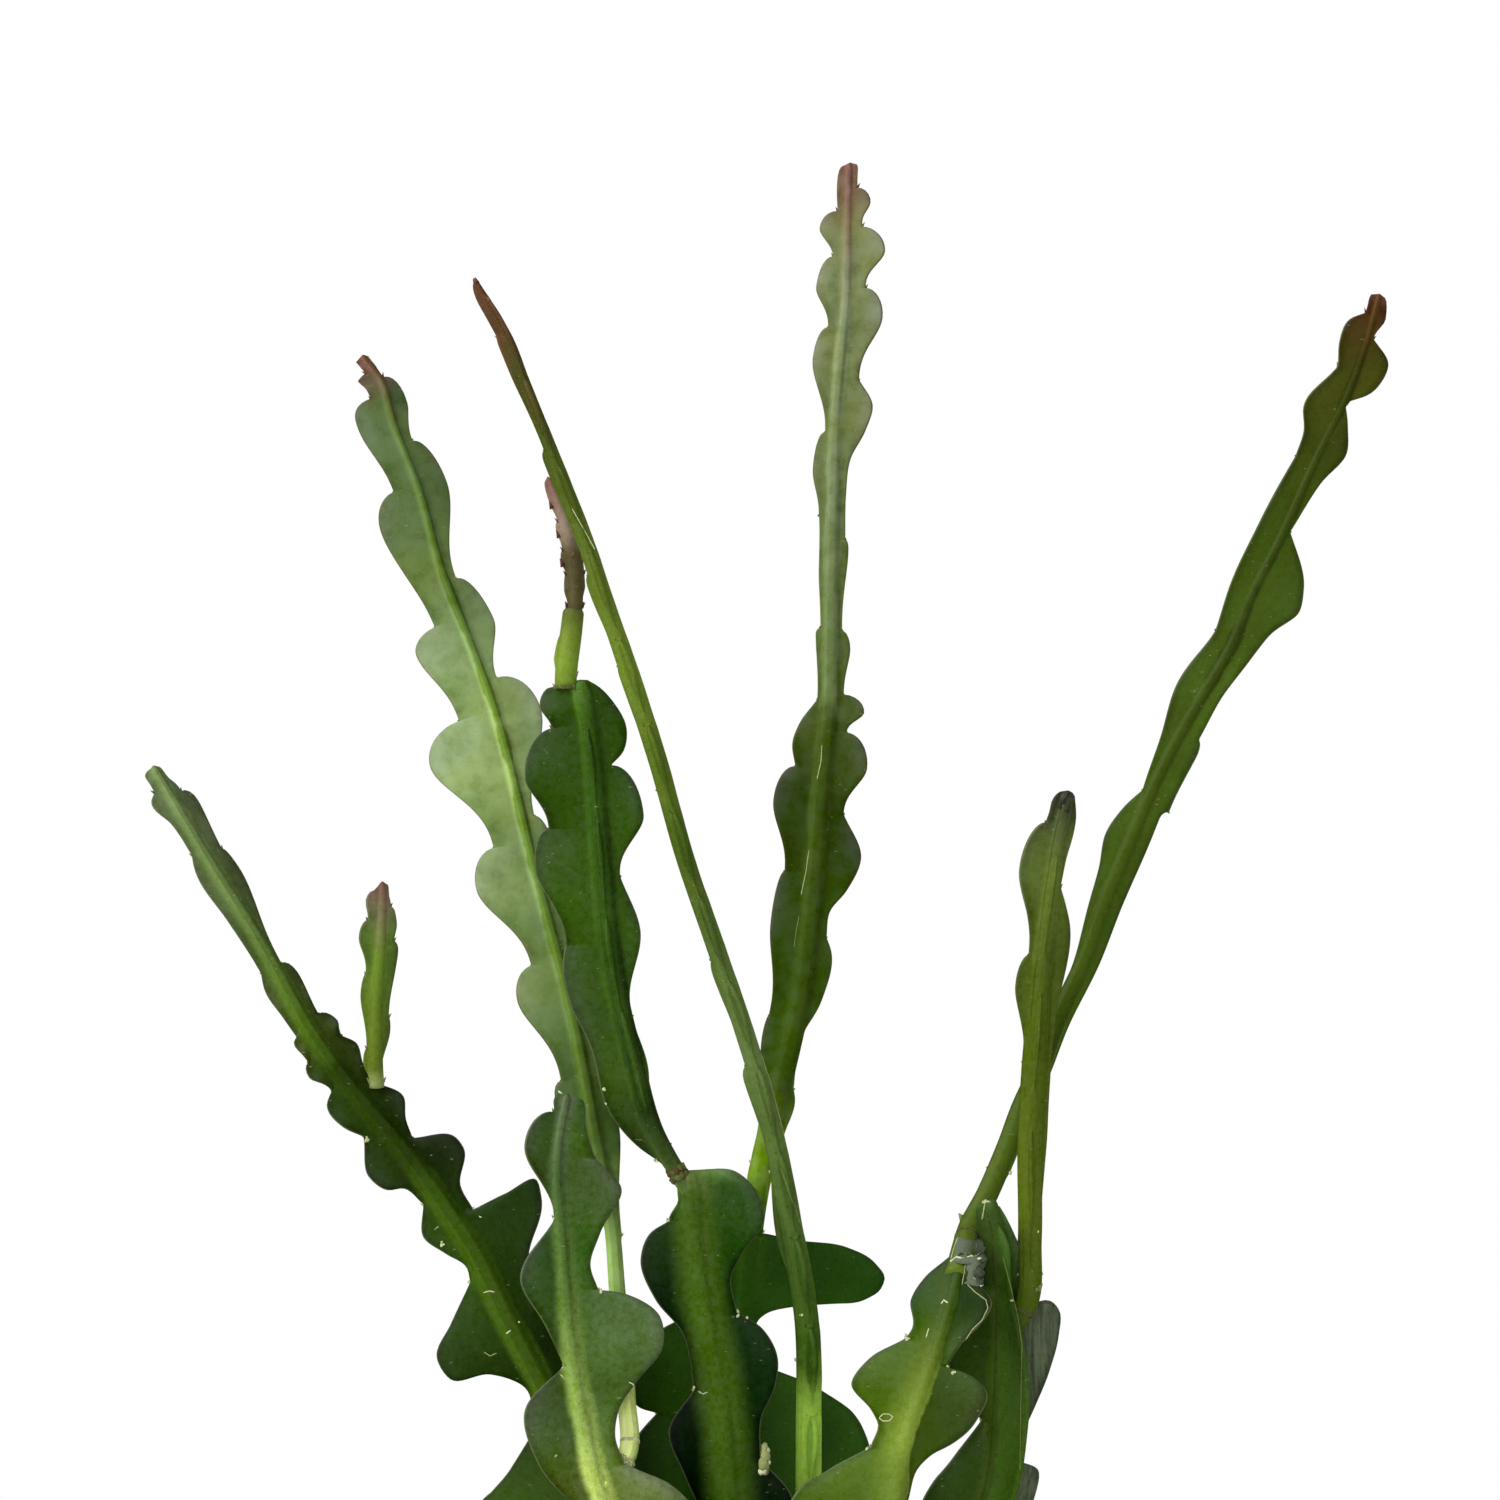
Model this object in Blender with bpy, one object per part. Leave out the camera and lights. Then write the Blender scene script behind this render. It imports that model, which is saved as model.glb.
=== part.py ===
"""A ric rac cactus in a plain terracotta pot: nine pieces, each one named object.

The plant is made of leafless stems. Each is a slim core with two or three flat wings, and the
wings' edges swell into round lobes between sharp notches. A stem is drawn by its centre line and
by the notches and lobes of its wings as they are seen from the front, all in millimetres, with
the origin at the centre of the pot's base, +X to the right and +Y away from the viewer.
"""

import math
from collections import namedtuple

import bmesh
import bpy
import numpy as np

MM = 0.001

# Where the front view is taken from: straight ahead, this far in front of the origin
VIEW_X = -10.0
VIEW_HEIGHT = 400.0
VIEW_DISTANCE = 4000.0

# The pot
POT_HEIGHT = 125.0
BAND_BOTTOM = 98.0
RIM_RADIUS = 70.0
BAND_FOOT_RADIUS = 68.2
BODY_TOP_RADIUS = 62.5
BASE_RADIUS = 46.0
WALL = 5.5
FLOOR = 6.0
FLOOR_RADIUS = 41.5
EDGE_ROUND = 1.4
POT_SEGMENTS = 48
DRAIN_HOLES = 4
DRAIN_RADIUS = 5.0
DRAIN_CIRCLE = 27.0

# The soil
SOIL_EDGE_HEIGHT = 112.5
SOIL_MOUND = 3.0
SOIL_RINGS = (0.85, 0.6, 0.3)
SOIL_GAP = 0.35

# The stems where they stand in the soil
ROOT_RADIUS = 4.5
ROOT_BOTTOM = 94.0
ROOT_TOP = 119.0
HOLE_GAP = 0.45
HOLE_SIDES = 16
CUT_BEYOND = 5.0

# The cross-section of a stem
BLADE_ROOT = 3.4
BLADE_EDGE = 1.5
LEAST_EDGE = 0.8
ROOT_OUT = 0.75
ROOT_SIDE = 0.66
VALLEY = 0.86
WING_BLEND = 5.0
TIP_BULGE = 0.6

# How finely a stem is divided
CURVE_STEP = 0.5
CORE_STEP = 10.0
RISE_STEPS = 3
SHOULDER_STEPS = 3
BEND_STEPS = 2
LONGEST_EDGE = 13.0
SHORTEST_EDGE = 0.5

# Edges that turn more sharply than this stay crisp, in degrees
STEM_CREASE = 50
POT_CREASE = 35

# The rule for a lobe that is drawn by its notch and peak: how late its edge swells
RISE_DELAY = 1.25

# The rule for hidden lobes: where a lobe peaks, and how much smaller they are at the tip
PEAK_PLACE = 0.66
TIP_SHRINK = 0.45

# The wings' slow wave out of their own plane
WAVE_DEPTH = 1.6
WAVE_LENGTH = 62.0
WAVE_REACH = 20.0
WAVE_MOST = 1.5
WAVE_SHIFT = 2.0

# How far below its first lobe a wing leaves the round stalk
LEAD = 9.0

# Where a lobe's lower edge runs outward by this much, this steeply, the core has points beside it
STEP_OUT = 8.0
STEP_SLOPE = 1.5

# A wing: its azimuth at the stem's foot and tip in degrees (0 points right, -90 to the viewer,
# 180 left), and its lobes. A lobe is a list of front-view points (x, z): its notch, then either
# its peak alone or several points along its edge. The last entry is where the edge ends.
Wing = namedtuple("Wing", "azimuth lobes")

# A wing that the front view doesn't show: even lobes by a rule.
HiddenWing = namedtuple("HiddenWing", "azimuth pitch reach notch start")

# One stem or branch: centre line (x, y, z), core radii at even steps along it, and its wings.
Shoot = namedtuple("Shoot", "spine core wings")


def smooth_step(t):
    t = min(max(t, 0.0), 1.0)
    return t * t * (3 - 2 * t)


def curve_through(points, steps):
    """A smooth curve through points: a cubic for each span, with slopes from the neighbours."""
    points = np.asarray(points, float)
    spans = np.linalg.norm(np.diff(points, axis=0), axis=1)
    at = np.concatenate([[0.0], np.cumsum(spans)])
    slopes = np.gradient(points, at, axis=0)
    curve = []
    for i, span in enumerate(spans):
        count = steps(span)
        for k in range(count):
            t = k / count
            keep = (1 + 2 * t) * (1 - t) ** 2
            leave = t * (1 - t) ** 2 * span
            meet = t * t * (3 - 2 * t)
            arrive = t * t * (t - 1) * span
            curve.append(
                keep * points[i] + leave * slopes[i] + meet * points[i + 1] + arrive * slopes[i + 1]
            )
    curve.append(points[-1])
    return np.array(curve)


def depth_scale(y):
    """How much larger a thing at depth y is than it looks in the front view."""
    return 1 + y / VIEW_DISTANCE


def seen(points):
    """The real places of front-view points (x, z) that lie at depth y, given as (x, y, z)."""
    placed = []
    for x, y, z in points:
        scale = depth_scale(y)
        real_x = VIEW_X + (x - VIEW_X) * scale
        placed.append((real_x, y, VIEW_HEIGHT + (z - VIEW_HEIGHT) * scale))
    return placed


class Spine:
    """A stem's centre line, measured along its length in millimetres."""

    def __init__(self, points):
        self.points = curve_through(points, lambda span: max(2, round(span / CURVE_STEP)))
        spans = np.linalg.norm(np.diff(self.points, axis=0), axis=1)
        self.along = np.concatenate([[0.0], np.cumsum(spans)])
        self.length = self.along[-1]
        slopes = np.gradient(self.points, self.along, axis=0)
        self.slopes = slopes / np.linalg.norm(slopes, axis=1)[:, None]

    def at(self, s, values):
        return np.array([np.interp(s, self.along, values[:, k]) for k in range(3)])

    def frame(self, s):
        """The centre at s, and the directions along the stem, to its right and to its back."""
        ahead = self.at(s, self.slopes)
        ahead /= np.linalg.norm(ahead)
        right = np.array([1.0, 0.0, 0.0]) - ahead[0] * ahead
        right /= np.linalg.norm(right)
        return self.at(s, self.points), ahead, right, np.cross(ahead, right)

    def from_front(self, point):
        """How far along the stem a front-view point lies, and how far from the centre line."""
        scale = depth_scale(self.points[:, 1])
        seen_x = VIEW_X + (self.points[:, 0] - VIEW_X) / scale
        seen_z = VIEW_HEIGHT + (self.points[:, 2] - VIEW_HEIGHT) / scale
        away = np.hypot(seen_x - point[0], seen_z - point[1])
        nearest = int(away.argmin())
        return self.along[nearest], away[nearest] * scale[nearest]


def azimuth_at(wing, spine, s):
    foot, tip = wing.azimuth
    return math.radians(foot + (tip - foot) * s / spine.length)


def core_radius(shoot, spine, s):
    return float(np.interp(s / spine.length, np.linspace(0, 1, len(shoot.core)), shoot.core))


def drawn_lobes(wing, spine):
    """The wing's lobes as (distance along, reach) points, from its front-view points."""
    lobes = []
    for lobe in wing.lobes:
        found = []
        for point in lobe:
            s, away = spine.from_front(point)
            found.append((s, away / abs(math.cos(azimuth_at(wing, spine, s)))))
        lobes.append(found)
    return lobes


def ruled_lobes(wing, spine):
    """Even lobes for a wing that the front view doesn't show, smaller towards the tip."""
    lobes = []
    s = wing.start
    while s + wing.pitch < spine.length:
        shrink = 1 - TIP_SHRINK * s / spine.length
        peak = (s + PEAK_PLACE * wing.pitch, wing.reach * shrink)
        lobes.append([(s, wing.notch * shrink), peak])
        s += wing.pitch
    lobes.append([(s, wing.notch * (1 - TIP_SHRINK))])
    return lobes


def edge_points(wing, spine):
    """The wing's whole edge as (distance along, reach) points from foot to tip."""
    lobes = drawn_lobes(wing, spine) if isinstance(wing, Wing) else ruled_lobes(wing, spine)
    edge = [(0.0, 0.0)]
    if lobes[0][0][0] > LEAD + SHORTEST_EDGE:
        edge.append((lobes[0][0][0] - LEAD, 0.0))
    for lobe, following in zip(lobes, lobes[1:]):
        end = following[0]
        if len(lobe) > 2:
            curve = curve_through([*lobe, end], lambda span: BEND_STEPS)
            edge.extend(map(tuple, curve[:-1]))
            continue
        notch, peak = lobe
        for k in range(RISE_STEPS):
            t = k / RISE_STEPS
            s = notch[0] + (peak[0] - notch[0]) * t
            edge.append((s, notch[1] + (peak[1] - notch[1]) * smooth_step(t**RISE_DELAY)))
        for k in range(SHOULDER_STEPS):
            turn = math.radians(90 * k / SHOULDER_STEPS)
            s = peak[0] + (end[0] - peak[0]) * math.sin(turn)
            edge.append((s, end[1] + (peak[1] - end[1]) * math.cos(turn)))
    edge.append(lobes[-1][0])
    edge = [point for point in edge if point[0] < spine.length - SHORTEST_EDGE]
    edge.append((spine.length, 0.0))
    filled = [edge[0]]
    for (s, reach), (next_s, next_reach) in zip(edge, edge[1:]):
        pieces = max(1, math.ceil((next_s - s) / LONGEST_EDGE))
        for k in range(1, pieces + 1):
            t = k / pieces
            filled.append((s + (next_s - s) * t, reach + (next_reach - reach) * t))
    return filled


def core_stations(spine, edges):
    """Even distances along the core, some moved to where a lobe's lower edge runs outward."""
    count = max(4, round(spine.length / CORE_STEP))
    even = np.linspace(0, spine.length, count + 1)
    stations = even.copy()
    for edge in edges:
        start = edge[0]
        for point, following in zip(edge, edge[1:]):
            if following[1] - point[1] < STEP_SLOPE * (following[0] - point[0]):
                start = following
            nearest = int(np.abs(even - start[0]).argmin())
            if following[1] - start[1] > STEP_OUT and 0 < nearest < count:
                stations[nearest] = start[0]
    return list(stations)


def zip_strips(faces, first, first_at, second, second_at):
    """Triangles between two rows of points, each row with its distances along the stem."""
    i = j = 0
    while i < len(first) - 1 or j < len(second) - 1:
        first_next = first_at[i + 1] if i < len(first) - 1 else math.inf
        second_next = second_at[j + 1] if j < len(second) - 1 else math.inf
        if first_next <= second_next:
            faces.append((first[i], first[i + 1], second[j]))
            i += 1
        else:
            faces.append((first[i], second[j + 1], second[j]))
            j += 1


def shoot_mesh(name, shoot):
    """One stem as a closed mesh: a core of a few sides, and a thin blade for each wing."""
    spine = Spine(shoot.spine)
    wings = sorted(shoot.wings, key=lambda wing: wing.azimuth[0] % 360)
    edges = [edge_points(wing, spine) for wing in wings]
    stations = core_stations(spine, edges)
    points = []
    faces = []

    def add(point):
        points.append(tuple(point * MM))
        return len(points) - 1

    rows = []
    for index, (wing, edge) in enumerate(zip(wings, edges)):
        edge_at = list(np.maximum.accumulate([s for s, reach in edge]))
        reach_at = [reach for s, reach in edge]
        low_edge, high_edge, low_root, high_root = [], [], [], []
        for s, reach in edge:
            centre, ahead, right, back = spine.frame(s)
            turn = azimuth_at(wing, spine, s)
            out = math.cos(turn) * right + math.sin(turn) * back
            side = math.cos(turn) * back - math.sin(turn) * right
            radius = core_radius(shoot, spine, s)
            reach = max(reach, radius)
            half = max(min(BLADE_EDGE, radius), LEAST_EDGE) / 2
            wave = WAVE_DEPTH * math.sin(2 * math.pi * s / WAVE_LENGTH + WAVE_SHIFT * index)
            wave *= min((reach - radius) / WAVE_REACH, WAVE_MOST)
            low_edge.append(add(centre + reach * out + (wave - half) * side))
            high_edge.append(add(centre + reach * out + (wave + half) * side))
        for s in stations:
            centre, ahead, right, back = spine.frame(s)
            turn = azimuth_at(wing, spine, s)
            out = math.cos(turn) * right + math.sin(turn) * back
            side = math.cos(turn) * back - math.sin(turn) * right
            radius = core_radius(shoot, spine, s)
            reach = float(np.interp(s, edge_at, reach_at))
            flat = smooth_step((reach - radius) / WING_BLEND)
            half = ROOT_SIDE * radius
            half += (min(BLADE_ROOT / 2, half) - half) * flat
            low_root.append(add(centre + ROOT_OUT * radius * out - half * side))
            high_root.append(add(centre + ROOT_OUT * radius * out + half * side))
        zip_strips(faces, low_root, stations, low_edge, edge_at)
        zip_strips(faces, high_root, stations, high_edge, edge_at)
        zip_strips(faces, low_edge, edge_at, high_edge, edge_at)
        rows.append((low_root, low_edge, high_edge, high_root))

    valleys = []
    for wing, following in zip(wings, wings[1:] + wings[:1]):
        valley = []
        for s in stations:
            centre, ahead, right, back = spine.frame(s)
            turn = azimuth_at(wing, spine, s)
            gap = (azimuth_at(following, spine, s) - turn) % (2 * math.pi)
            middle = turn + gap / 2
            radius = core_radius(shoot, spine, s) * (1.0 if len(wings) == 2 else VALLEY)
            valley.append(
                add(centre + radius * (math.cos(middle) * right + math.sin(middle) * back))
            )
        valleys.append(valley)
    for index, valley in enumerate(valleys):
        high_root = rows[index][3]
        next_low_root = rows[(index + 1) % len(rows)][0]
        zip_strips(faces, high_root, stations, valley, stations)
        zip_strips(faces, valley, stations, next_low_root, stations)

    for end, beyond in ((0, 0.0), (-1, TIP_BULGE)):
        centre, ahead, right, back = spine.frame(stations[end])
        middle = add(centre + beyond * core_radius(shoot, spine, stations[end]) * ahead)
        ring = []
        for row, valley in zip(rows, valleys):
            ring.extend((row[0][end], row[1][end], row[2][end], row[3][end], valley[end]))
        for first, second in zip(ring, ring[1:] + ring[:1]):
            faces.append((middle, first, second))

    mesh = bpy.data.meshes.new(name)
    mesh.from_pydata(points, [], faces)
    built = bmesh.new()
    built.from_mesh(mesh)
    bmesh.ops.recalc_face_normals(built, faces=built.faces)
    built.to_mesh(mesh)
    built.free()
    return mesh


def material(name, colour, roughness):
    """A Principled material in one colour."""
    made = bpy.data.materials.new(name)
    made.use_nodes = True
    shader = made.node_tree.nodes["Principled BSDF"]
    shader.inputs["Base Color"].default_value = (*colour, 1.0)
    shader.inputs["Roughness"].default_value = roughness
    shader.inputs["Metallic"].default_value = 0.0
    made.diffuse_color = (*colour, 1.0)
    return made


def new_object(name, mesh):
    made = bpy.data.objects.new(name, mesh)
    bpy.context.scene.collection.objects.link(made)
    return made


def apply_modifiers(made):
    """Replaces the object's mesh with the mesh that its modifiers give."""
    graph = bpy.context.evaluated_depsgraph_get()
    mesh = bpy.data.meshes.new_from_object(made.evaluated_get(graph))
    made.modifiers.clear()
    made.data = mesh


def grown_as_one(name, shoots, finish):
    """One node: the main stem, with its branches joined into it by a union."""
    stem = new_object(name, shoot_mesh(name, shoots[0]))
    if len(shoots) > 1:
        branches = bpy.data.collections.new(name + "_branches")
        bpy.context.scene.collection.children.link(branches)
        for shoot in shoots[1:]:
            branch = bpy.data.objects.new(name + "_branch", shoot_mesh(name + "_branch", shoot))
            branches.objects.link(branch)
        union = stem.modifiers.new("branches", "BOOLEAN")
        union.operation = "UNION"
        union.operand_type = "COLLECTION"
        union.collection = branches
        union.solver = "EXACT"
        apply_modifiers(stem)
        for branch in list(branches.objects):
            bpy.data.objects.remove(branch)
        bpy.data.collections.remove(branches)
    stem.data.materials.clear()
    stem.data.materials.append(finish)
    stem.data.shade_smooth()
    stem.data.set_sharp_from_angle(angle=math.radians(STEM_CREASE))
    return stem


def turned(name, profile, segments):
    """A solid turned round the Z axis from (radius, height) points, from the axis to the axis."""
    built = bmesh.new()
    for radius, height in profile:
        built.verts.new((radius * MM, 0, height * MM))
    built.verts.ensure_lookup_table()
    for first, second in zip(built.verts[:-1], built.verts[1:]):
        built.edges.new((first, second))
    bmesh.ops.spin(
        built,
        geom=built.verts[:] + built.edges[:],
        cent=(0, 0, 0),
        axis=(0, 0, 1),
        angle=2 * math.pi,
        steps=segments,
        use_merge=True,
    )
    bmesh.ops.remove_doubles(built, verts=built.verts, dist=0.00001)
    bmesh.ops.recalc_face_normals(built, faces=built.faces)
    mesh = bpy.data.meshes.new(name)
    built.to_mesh(mesh)
    built.free()
    mesh.shade_smooth()
    mesh.set_sharp_from_angle(angle=math.radians(POT_CREASE))
    return mesh


def cutting_cylinders(name, places, radius, bottom, top):
    """Upright cylinders that cut round holes, in a collection of their own."""
    cutters = bpy.data.collections.new(name)
    bpy.context.scene.collection.children.link(cutters)
    for x, y in places:
        built = bmesh.new()
        bmesh.ops.create_cone(
            built,
            cap_ends=True,
            segments=HOLE_SIDES,
            radius1=radius * MM,
            radius2=radius * MM,
            depth=(top - bottom) * MM,
        )
        mesh = bpy.data.meshes.new(name)
        built.to_mesh(mesh)
        built.free()
        cutter = bpy.data.objects.new(name, mesh)
        cutter.location = (x * MM, y * MM, (bottom + top) / 2 * MM)
        cutter.hide_render = True
        cutter.display_type = "WIRE"
        cutters.objects.link(cutter)
    return cutters


def cut_holes(made, cutters):
    holes = made.modifiers.new("holes", "BOOLEAN")
    holes.operation = "DIFFERENCE"
    holes.operand_type = "COLLECTION"
    holes.collection = cutters
    holes.solver = "EXACT"


def wall_radius(height):
    """The radius of the pot's inner wall at a height."""
    heights = (FLOOR, BAND_BOTTOM, POT_HEIGHT)
    radii = (FLOOR_RADIUS, BODY_TOP_RADIUS - WALL, RIM_RADIUS - WALL)
    return float(np.interp(height, heights, radii))


def rim_edge(radius, inward):
    """Three profile points that round the rim's edge at a radius, from its foot to its top."""
    points = []
    for degrees in (0, 45, 90):
        turn = math.radians(degrees)
        in_by = EDGE_ROUND * (1 - math.cos(turn))
        down_by = EDGE_ROUND * (1 - math.sin(turn))
        points.append((radius + inward * in_by, POT_HEIGHT - down_by))
    return points


def make_pot():
    profile = [
        (0, 0),
        (BASE_RADIUS - EDGE_ROUND, 0),
        (BASE_RADIUS, EDGE_ROUND),
        (BODY_TOP_RADIUS, BAND_BOTTOM),
        (BAND_FOOT_RADIUS - EDGE_ROUND, BAND_BOTTOM),
        (BAND_FOOT_RADIUS, BAND_BOTTOM + EDGE_ROUND),
        *rim_edge(RIM_RADIUS, -1),
        *reversed(rim_edge(wall_radius(POT_HEIGHT - EDGE_ROUND), 1)),
        (wall_radius(BAND_BOTTOM), BAND_BOTTOM),
        (FLOOR_RADIUS, FLOOR),
        (0, FLOOR),
    ]
    pot = new_object("pot", turned("pot", profile, POT_SEGMENTS))
    places = []
    for k in range(DRAIN_HOLES):
        turn = 2 * math.pi * (k + 0.5) / DRAIN_HOLES
        places.append((DRAIN_CIRCLE * math.cos(turn), DRAIN_CIRCLE * math.sin(turn)))
    cutters = cutting_cylinders(
        "drain_hole", places, DRAIN_RADIUS, -CUT_BEYOND, FLOOR + CUT_BEYOND
    )
    cut_holes(pot, cutters)
    pot.data.materials.append(material("terracotta", (0.45, 0.17, 0.09), 0.85))


def make_soil(places):
    """The potting mix: it fills the pot up to a low mound, with a plain hole for each stem."""
    bottom = FLOOR + SOIL_GAP
    edge = wall_radius(SOIL_EDGE_HEIGHT) - SOIL_GAP
    profile = [
        (0, bottom),
        (wall_radius(bottom) - SOIL_GAP, bottom),
        (wall_radius(BAND_BOTTOM) - SOIL_GAP, BAND_BOTTOM),
        (edge, SOIL_EDGE_HEIGHT),
    ]
    for share in SOIL_RINGS:
        profile.append((edge * share, SOIL_EDGE_HEIGHT + SOIL_MOUND * (1 - share**2)))
    profile.append((0, SOIL_EDGE_HEIGHT + SOIL_MOUND))
    soil = new_object("soil", turned("soil", profile, POT_SEGMENTS))
    radius = ROOT_RADIUS + HOLE_GAP
    cutters = cutting_cylinders(
        "stem_hole", places, radius, ROOT_BOTTOM - HOLE_GAP, SOIL_EDGE_HEIGHT + CUT_BEYOND
    )
    cut_holes(soil, cutters)
    soil.data.materials.append(material("potting_mix", (0.05, 0.032, 0.02), 0.95))


def rooted(x, y):
    """The first centre points of a stem, which stands upright in the soil at (x, y)."""
    return [(x, y, float(z)) for z in np.linspace(ROOT_BOTTOM, ROOT_TOP, 4)]


FAR_LEFT_FOOT = (-36, 6)
FRONT_LEFT_FOOT = (-35, -31)
CENTRE_FOOT = (-14, -21)
EDGE_ON_FOOT = (8, -10)
BACK_FOOT = (-15, 12)
FRONT_RIGHT_FOOT = (21, -32)
RIGHT_FOOT = (41, -4)


def far_left_stem():
    """The stem that leans out furthest to the left, and the young shoot on its upper side."""
    spine = rooted(*FAR_LEFT_FOOT) + seen([
        (-46, 0, 134),
        (-58, -9, 153),
        (-64.5, -15, 170),
        (-74, -19, 192),
        (-87, -20, 217.5),
        (-99.5, -19, 242),
        (-109, -18, 256),
        (-120, -16, 271),
        (-134.5, -13, 288),
        (-151, -10, 310.5),
        (-165, -6, 336),
        (-181, -2, 361.5),
        (-201, 4, 395),
    ])
    left = Wing((165, 190), [
        [(-50, 130), (-70, 126), (-90, 134), (-98, 150), (-87, 168)],
        [(-79, 182), (-82, 196), (-93, 200), (-106, 198.5), (-110.5, 205), (-106, 216)],
        [(-99.5, 229.5), (-100.5, 234), (-107.5, 239), (-114.5, 244)],
        [(-114.5, 254.5), (-120.5, 259.5), (-126, 259), (-132, 263.5)],
        [(-133.5, 276), (-140, 279), (-145.5, 286.5)],
        [(-144, 291), (-151, 295)],
        [(-151.5, 300), (-155.5, 305)],
        [(-155, 308), (-159, 313.5), (-165.5, 324)],
        [(-166.5, 328.5), (-177.5, 345.5), (-188, 363)],
        [(-188.5, 366), (-195, 376), (-201.5, 384)],
        [(-200.5, 386), (-203.5, 391.5)],
        [(-202, 394)],
    ])
    right = Wing((-15, 10), [
        [(-50, 138), (-50, 158)],
        [(-62, 178), (-60, 186)],
        [(-70, 193), (-74, 203), (-83.5, 224), (-83.5, 235), (-77, 257.5), (-78, 262), (-88, 258)],
        [(-98.5, 253), (-102.5, 260.5), (-101.5, 272.5), (-104, 276)],
        [(-118, 276), (-120, 281.5), (-121, 289.5)],
        [(-131.5, 294.5), (-134, 300), (-136, 306.5)],
        [(-140.5, 308.5), (-142, 313.5)],
        [(-148, 315.5), (-154, 328)],
        [(-160, 332), (-173, 362)],
        [(-179, 368.5), (-186.5, 384.5)],
        [(-192, 387), (-197, 392.5)],
        [(-199.5, 395)],
    ])
    behind = HiddenWing((75, 75), 34, 13, 5, 40)
    main = Shoot(spine, (4.5, 4.0, 1.4), [left, right, behind])
    young = Shoot(
        seen([(-131.5, -13, 288), (-129.7, -14, 297), (-129.6, -15, 320), (-128.3, -16, 339),
              (-127.6, -17, 358)]),
        (3.0, 2.7, 1.4),
        [
            Wing((180, 200), [
                [(-133, 297), (-134.5, 322)],
                [(-133, 328.5), (-135, 340)],
                [(-132.5, 345.5), (-133, 350)],
                [(-130.5, 355)],
            ]),
            Wing((0, 20), [
                [(-127, 297), (-125.5, 308)],
                [(-125.5, 314.5), (-122.5, 335)],
                [(-124, 339), (-123, 345)],
                [(-125, 350), (-125.5, 354)],
                [(-126, 357)],
            ]),
        ],
    )
    return [main, young]


def front_left_stem():
    """The short stem in front on the left, and the long pale blade from its lowest notch."""
    spine = rooted(*FRONT_LEFT_FOOT) + seen([
        (-43, -35, 134),
        (-51, -40, 148),
        (-57, -43, 160),
        (-63.5, -45, 185.5),
        (-67.5, -45, 211),
        (-70, -44, 240),
        (-71.5, -42, 272),
        (-68.5, -40, 290),
    ])
    left = Wing((180, 195), [
        [(-45, 126), (-66, 148)],
        [(-66, 158), (-78, 172), (-82, 188)],
        [(-69.5, 203), (-76, 216), (-83.5, 230)],
        [(-72.5, 250), (-82, 273.5)],
        [(-73, 284), (-73, 287)],
        [(-71, 290)],
    ])
    right = Wing((-12, 5), [
        [(-34, 126), (-25, 138), (-22, 151), (-30, 161), (-38, 167)],
        [(-50, 172), (-53, 181), (-51.5, 190), (-46, 198), (-38, 209), (-39, 219), (-50, 226)],
        [(-58.5, 227.5), (-61, 235), (-58, 245), (-51, 259.5)],
        [(-59.5, 269.5), (-62.5, 280), (-63.5, 288)],
        [(-65, 290)],
    ])
    main = Shoot(spine, (4.5, 4.2, 3.0), [left, right])
    blade_spine = seen([
        (-58, -43, 164),
        (-49.5, -40, 174),
        (-49.5, -34, 192),
        (-52.5, -29, 227),
        (-54, -26, 246),
        (-59, -22, 275),
        (-67, -16, 317),
        (-79.5, -8, 365),
        (-91, -2, 411),
        (-99.5, 1, 435),
        (-108.5, 3, 458),
        (-115.5, 5, 483),
        (-124, 8, 505.5),
        (-128, 9, 519),
        (-134, 10, 526.5),
    ])
    blade_left = Wing((186, 174), [
        [(-57, 248), (-72.5, 289)],
        [(-70.5, 294), (-84.5, 320)],
        [(-80, 331), (-97.5, 355)],
        [(-92, 368.5), (-112.5, 395)],
        [(-103, 409), (-117, 430.5)],
        [(-111, 439.5), (-128.5, 471)],
        [(-124, 482.5), (-136.5, 505.5)],
        [(-131.5, 512.5), (-135.5, 518)],
        [(-133, 520.5), (-136, 524)],
        [(-135, 526)],
    ])
    blade_right = Wing((-6, 8), [
        [(-51, 245), (-52, 280)],
        [(-56.5, 291), (-58, 306)],
        [(-63.5, 322), (-62, 338)],
        [(-71, 354), (-71, 365)],
        [(-79, 379), (-77, 414)],
        [(-91, 423), (-92, 442)],
        [(-104, 455), (-107, 486)],
        [(-118, 499), (-119.5, 511)],
        [(-127.5, 519), (-130.5, 524)],
        [(-132, 526)],
    ])
    blade = Shoot(blade_spine, (3.2, 2.9, 1.3), [blade_left, blade_right])
    return [main, blade]


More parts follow.
